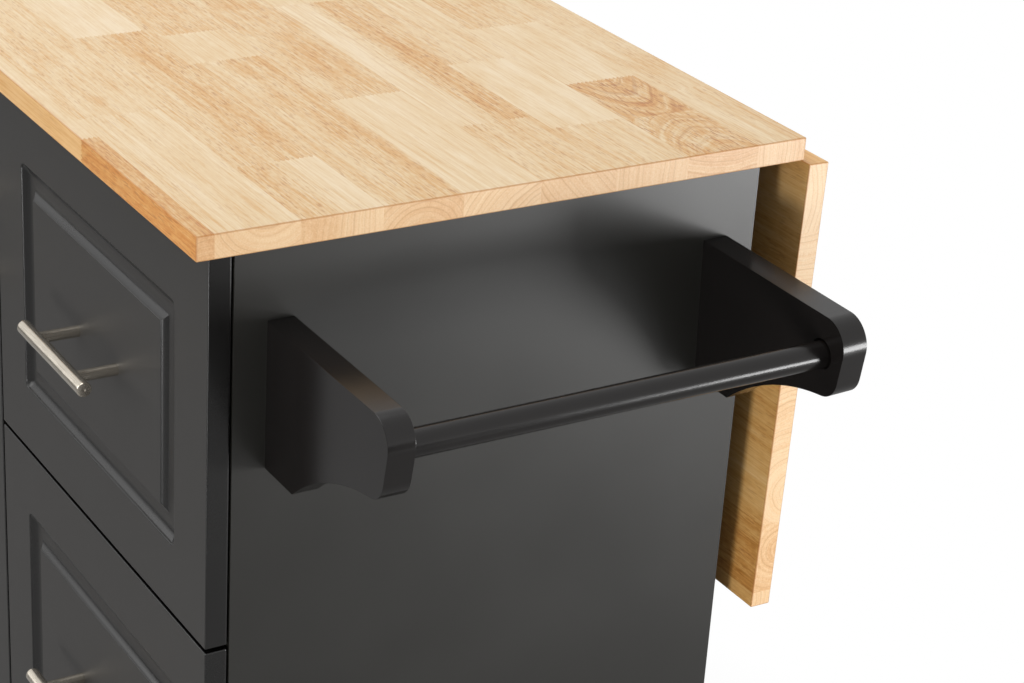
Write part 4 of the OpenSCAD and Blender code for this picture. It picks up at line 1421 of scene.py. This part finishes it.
@dataclass
class Caster:
    """One caster: its fork, axle, wheel and perhaps its brake."""

    place: str
    braked: bool
    plate_ease: float = 0.0005
    pedal_ease: float = 0.0007
    tread: float = 0.009
    tread_corner: float = 0.004
    tread_gap: float = 0.0004
    corner_steps: int = 6
    rib_count: int = 5
    rib_first: float = 0.0070
    rib_pitch: float = 0.0015
    rib_slope: float = 0.0003
    rib_depth: float = 0.0004
    hub_radius: float = 0.010
    hub_proud: float = 0.001
    hub_ease: float = 0.0006
    bore: float = 0.00406
    dish: float = 0.005
    dish_round: float = 0.0008
    boss_spread: float = 0.0009
    flange: float = 0.0012
    rim_round: float = 0.0004
    rim_lip: float = 0.0003
    tyre_steps: int = 64
    hub_steps: int = 48
    smooth: float = 30.0

    def build(self) -> None:
        """Builds the wheel and dresses the rest."""
        self._wheel()
        ease(CASTER_CHROME, self.plate_ease, f"caster_{self.place}_fork")
        ease(ZINC, self.plate_ease, f"caster_{self.place}_axle")
        if self.braked:
            ease(PEDAL, self.pedal_ease, f"caster_{self.place}_brake")

    def _wheel(self) -> None:
        """Spins a ribbed rubber tyre round a dished nylon hub."""
        node = f"caster_{self.place}_wheel"
        low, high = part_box(node)
        centre = (low + high) / 2
        radius = (high.z - low.z) / 2
        wide = (high.x - low.x) / 2 - self.hub_proud
        rim = radius - self.tread
        tyre = Shape()
        section = self._mirrored(self._tyre_half(wide, radius, rim))
        tyre.spin(section, Axis.X, centre, self.tyre_steps, ring=True)
        tyre.finish(node + "_tyre", body_of(node), TREAD, (node,), smooth=self.smooth)
        hub = Shape()
        section = self._mirrored(self._hub_half(wide, rim))
        hub.spin(section, Axis.X, centre, self.hub_steps, ring=True)
        hub.finish(node + "_hub", body_of(node), HUB, (node,), smooth=self.smooth)

    @staticmethod
    def _mirrored(half: Profile) -> Profile:
        """Adds a section's other half, mirrored along the axle."""
        return half + [(-a, r) for a, r in reversed(half)]

    def _tyre_half(self, wide: float, radius: float, rim: float) -> Profile:
        """Draws half of the tyre's section, from its inner edge over the shoulder to the middle rib.

        Args:
            wide: Half the tyre's width.
            radius: The wheel's radius.
            rim: The hub's radius.

        Returns:
            The section.
        """
        corner, slope, floor = self.tread_corner, self.rib_slope, radius - self.rib_depth
        points = [(-wide + self.hub_ease, rim), (-wide, rim + self.tread_gap)]
        for step in range(self.corner_steps + 1):
            turn = math.pi / 2 * step / self.corner_steps
            points.append((-wide + corner * (1 - math.cos(turn)), radius - corner * (1 - math.sin(turn))))
        for rib in range(self.rib_count):
            start = -self.rib_first + rib * self.rib_pitch
            points += [(start, radius), (start + slope, floor)]
            points += [(start + 2 * slope, floor), (start + 3 * slope, radius)]
        return points

    def _hub_half(self, wide: float, rim: float) -> Profile:
        """Draws half of the hub's section, from the bore over the boss and the dish to the rim.

        Args:
            wide: Half the tyre's width.
            rim: The hub's radius.

        Returns:
            The section.
        """
        face, floor = -wide - self.hub_proud, -wide + self.dish
        boss, spread, inner = self.hub_radius, self.boss_spread, rim - self.flange
        points = [(face, self.bore), (face, boss - self.hub_ease), (face + self.hub_ease, boss)]
        points += [(floor - self.dish_round, boss + spread), (floor, boss + 2 * spread)]
        points += [(floor, inner - self.flange), (floor - self.dish_round, inner)]
        points += [(-wide + self.hub_ease, inner), (-wide + self.rim_round, rim - self.rim_lip)]
        return points + [(-wide + 2 * self.rim_round, rim)]


@dataclass
class Cabinet:
    """The fixed boards and their hardware."""

    board_ease: float = 0.0006
    plate_ease: float = 0.0002
    boards: tuple[str, ...] = ("side_panel_right", "side_panel_left", "bottom_panel", "back_panel")
    inner: tuple[str, ...] = ("partition", "top_rails", "shelf")
    plates: tuple[str, ...] = (
        "cabinet_runners", "leaf_hinge_plates_fixed", "stay_brackets", "door_hinge_plates_fixed",
        "caster_plates",
    )
    small: tuple[str, ...] = (
        "shelf_pins", "towel_bracket_screws", "leaf_hinge_pins", "stay_rivets", "door_hinge_pins",
        "hardware_screws", "caster_screws",
    )

    def build(self) -> None:
        """Eases the boards and plates and dresses the small parts."""
        ease(PAINT, self.board_ease, *self.boards)
        ease(INNER_PAINT, self.board_ease, *self.inner)
        ease(ZINC, self.plate_ease, *self.plates)
        dress(ZINC, *self.small)


@dataclass
class Drawer:
    """One drawer, named by its place in the column."""

    place: str
    side_ease: float = 0.0006
    floor_ease: float = 0.0003
    runner_ease: float = 0.0002

    def build(self) -> None:
        """Builds the front and handle, and eases the box."""
        RoutedFront(f"drawer_{self.place}_front").build()
        BarHandle(f"drawer_{self.place}_handle").build()
        ease(BOARD_SIDE, self.side_ease, f"drawer_{self.place}_box")
        ease(BOARD_FLOOR, self.floor_ease, f"drawer_{self.place}_bottom")
        ease(ZINC, self.runner_ease, f"drawer_{self.place}_runners")


@dataclass
class Door:
    """The cupboard door."""

    hinge_ease: float = 0.0001

    def build(self) -> None:
        """Builds the routed panel and handle, and eases the hinge plates."""
        RoutedFront("door_panel").build()
        BarHandle("door_handle", upright=True).build()
        ease(ZINC, self.hinge_ease, "door_hinge_plates_moving")


# From the front to the back, each from the right end. The front stave's first billet is darker than its own
# wood, which darkens the near corner's sawn end: partly its tone, partly painted shade.
TOP_STAVES = [
    [Billet(169, 0.6, 0.6, (0, -40)), Billet(520, 0.16, 0.16), Billet(772, 0.3, 0.3)],
    [Billet(202, 0.2, 0.18, (8, 24)), Billet(470, 0.30, 0.26), Billet(772, 0.14, 0.2, (20, -60))],
    [Billet(89, 0.45, 0.12, (120, 0)), Billet(354, 0.30, 0.46, (30, -50)), Billet(640, 0.14, 0.12),
     Billet(772, 0.34, 0.3)],
    [Billet(276, 0.30, 0.40, (0, -22)), Billet(338, 0.16, 0.12), Billet(600, 0.36, 0.4),
     Billet(772, 0.2, 0.2)],
    [Billet(176, 0.14, 0.14, (60, -70)), Billet(500, 0.34, 0.36), Billet(772, 0.2, 0.18)],
    [Billet(101, 0.34, 0.34, (70, 60)), Billet(371, 0.14, 0.48, (110, 10), 0.0, 0.35),
     Billet(650, 0.2, 0.2), Billet(772, 0.4, 0.3)],
    [Billet(76, 0.30, 0.26, (-140, 0)), Billet(211, 0.14, 0.10), Billet(480, 0.30, 0.22, (-100, 8)),
     Billet(772, 0.18, 0.3)],
    [Billet(146, 0.46, 0.50, (4, -34), -0.175, 0.75), Billet(274, 0.12, 0.12), Billet(560, 0.34, 0.3),
     Billet(772, 0.2, 0.2)],
    [Billet(109, 0.24, 0.34, (-120, 0)), Billet(330, 0.27, 0.27, (0, -40)), Billet(772, 0.2, 0.2)],
]
# From the foot of the hanging leaf up, each from the right end.
LEAF_STAVES = [
    [Billet(210, 0.30, 0.34, (0, -30)), Billet(520, 0.2, 0.2), Billet(772, 0.36, 0.3)],
    [Billet(320, 0.58, 0.52, (5, 5)), Billet(772, 0.25, 0.25)],
    [Billet(140, 0.26, 0.22, (-5, 7)), Billet(450, 0.4, 0.3), Billet(772, 0.2, 0.2)],
    [Billet(260, 0.30, 0.36, (-90, 10)), Billet(610, 0.18, 0.2), Billet(772, 0.34, 0.3)],
    [Billet(390, 0.26, 0.24), Billet(772, 0.32, 0.36)],
    [Billet(180, 0.34, 0.3, (100, 0)), Billet(480, 0.2, 0.18), Billet(772, 0.3, 0.3)],
    [Billet(300, 0.2, 0.24), Billet(772, 0.4, 0.34)],
]


@dataclass
class Boards:
    """The worktop and the drop leaf."""

    plate_ease: float = 0.0002

    def build(self) -> None:
        """Glues up both boards and eases the leaf's hardware."""
        top_finish = ButcherBlock(glue_start=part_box("worktop")[0].y + FIRST_STAVE)
        StaveBoard("worktop", top_finish, TOP_STAVES).build()
        # The leaf's tones run darker and more orange than the top's: partly its own wood, partly standing for
        # the warm shade on its inner face, painted shade.
        leaf_finish = ButcherBlock(
            name="butcher_block_leaf", upright=True, glue_start=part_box("drop_leaf")[0].z + FIRST_STAVE,
            tones=("ebc387", "e0af6a", "cf944d", "b67934", "8f581f"),
            cut_tones=("f6d9b0", "efc898", "e0ae78", "c68f58"), painted_side_shade="ffffff",
        )
        StaveBoard("drop_leaf", leaf_finish, LEAF_STAVES, hang=self._hang(), upright=True).build()
        ease(ZINC, self.plate_ease, "leaf_hinge_plates_moving", "stay_struts", "stay_catches")
        dress(ZINC, "leaf_screws")

    @staticmethod
    def _hang() -> Matrix:
        """Finds how the leaning leaf is brought upright.

        Returns:
            The turn about its hinge.
        """
        joint = next(j for j in frame["record"]["behaviour"]["joints"] if j["name"] == "leaf_lift")
        pin = Vector(joint["pos_m"])
        lean = math.radians(joint["range_deg"][1] - 90.0)
        return Matrix.Translation(pin) @ Matrix.Rotation(lean, 4, "X") @ Matrix.Translation(-pin)


@dataclass(frozen=True)
class Lamp:
    """One soft square or oblong light."""

    name: str
    place: Triple
    aim: Triple
    size: tuple[float, float]
    power: float

    def hang(self) -> None:
        """Adds the light, facing its aim and out of the camera's sight."""
        data = bpy.data.lights.new(self.name, "AREA")
        data.shape = "RECTANGLE"
        data.size, data.size_y = self.size
        data.energy = self.power
        lamp = bpy.data.objects.new(self.name, data)
        bpy.context.scene.collection.objects.link(lamp)
        towards = Vector(self.aim) - Vector(self.place)
        turn = towards.to_track_quat("-Z", "Y").to_matrix().to_4x4()
        lamp.matrix_world = Matrix.Translation(Vector(self.place)) @ turn
        lamp.visible_camera = False


@dataclass
class Studio:
    """The floor, the surroundings, the lights and the camera."""

    eye: Triple = (1.515101, -0.765922, 1.464993)
    turn: Triple = (65.1705385, -3.42539621, 58.95257506)
    lens: float = 87.809
    sensor: float = 36.0
    clip_start: float = 0.05
    ambient: float = 0.36
    floor_size: float = 30.0
    floor_grey: str = "b4b4b4"
    floor_white: str = "ffffff"
    shadow_reach: tuple[float, float] = (0.5, 0.85)
    shadow_glow: float = 0.6
    lamps: tuple[Lamp, ...] = (
        Lamp("overhead_softbox", (-0.3, -0.4, 3.2), (0.0, 0.0, 0.9), (2.2, 2.0), 44.0),
        Lamp("front_softbox", (-1.6, -2.8, 1.7), (0.0, 0.0, 0.6), (2.0, 1.8), 24.0),
        Lamp("low_front_softbox", (1.3, -1.9, 0.35), (0.3, 0.2, 0.65), (0.5, 0.5), 22.0),
        Lamp("back_softbox", (2.1, 1.72, 0.44), (0.3, 0.15, 0.8), (0.8, 0.65), 42.0),
    )

    def build(self) -> None:
        """Sets up the whole studio."""
        self._floor()
        self._surroundings()
        for lamp in self.lamps:
            lamp.hang()
        self._camera()

    def _floor(self) -> None:
        """Lays a wide floor under the island."""
        bm = bmesh.new()
        bmesh.ops.create_grid(bm, x_segments=1, y_segments=1, size=self.floor_size)
        mesh = bpy.data.meshes.new("studio_floor")
        bm.to_mesh(mesh)
        bm.free()
        mesh.materials.append(self._floor_paint())
        floor = bpy.data.objects.new("studio_floor", mesh)
        bpy.context.scene.collection.objects.link(floor)

    def _floor_paint(self) -> bpy.types.Material:
        """Mixes a paint that looks white, keeps the island's shadow and lights it as grey does.

        Returns:
            The paint.
        """
        paint = Recipe("studio_floor_paint")
        x, y, _ = paint.parts(paint.place)
        seen = paint.seen("Camera")
        away = (x * x + y * y).root().rise(*self.shadow_reach, self.shadow_glow, 1.0)
        glow = paint.add("ShaderNodeEmission", {}, {"Color": WHITE, "Strength": 1.0})
        colour = paint.tint(shade(self.floor_grey), shade(self.floor_white), seen)
        paint.set(Base_Color=colour, Roughness=1.0, Specular_IOR_Level=0.0)
        sockets = {0: seen * away, 1: paint.shader.outputs[0], 2: glow.outputs[0]}
        mixed = paint.add("ShaderNodeMixShader", {}, sockets)
        paint.feed(paint.output.inputs["Surface"], mixed.outputs[0])
        return paint.material

    def _surroundings(self) -> None:
        """Makes the world white to look at and to shine in, and a softer fill for the rest."""
        world = bpy.data.worlds.new("studio_world")
        bpy.context.scene.world = world
        tree = Tree(world)
        strength = tree.seen("Camera", "Glossy", "Transmission").rise(0.0, 1.0, self.ambient, 1.0)
        background = tree.add("ShaderNodeBackground", {}, {"Color": WHITE, "Strength": strength})
        tree.add("ShaderNodeOutputWorld", {}, {"Surface": background.outputs[0]})

    def _camera(self) -> None:
        """Sets the camera where the photograph was taken from."""
        data = bpy.data.cameras.new("photograph_camera")
        data.lens = self.lens
        data.sensor_width = self.sensor
        data.sensor_fit = "HORIZONTAL"
        data.clip_start = self.clip_start
        camera = bpy.data.objects.new("photograph_camera", data)
        bpy.context.scene.collection.objects.link(camera)
        camera.location = self.eye
        camera.rotation_euler = [math.radians(angle) for angle in self.turn]
        bpy.context.scene.camera = camera


def main() -> None:
    """Builds the island's pieces and the studio, in order."""
    logging.basicConfig(level=logging.INFO, format="%(message)s")
    builders: list[Callable[[], object]] = [
        Boards().build,
        Cabinet().build,
        Drawer("top").build,
        Drawer("middle").build,
        Drawer("lower").build,
        Door().build,
        TowelRail().build,
        Caster("front_left", True).build,
        Caster("front_right", True).build,
        Caster("rear_left", False).build,
        Caster("rear_right", False).build,
        Studio().build,
    ]
    for build in builders:
        build()
    bpy.context.scene.view_settings.view_transform = "Standard"


if __name__ == "__main__":
    main()
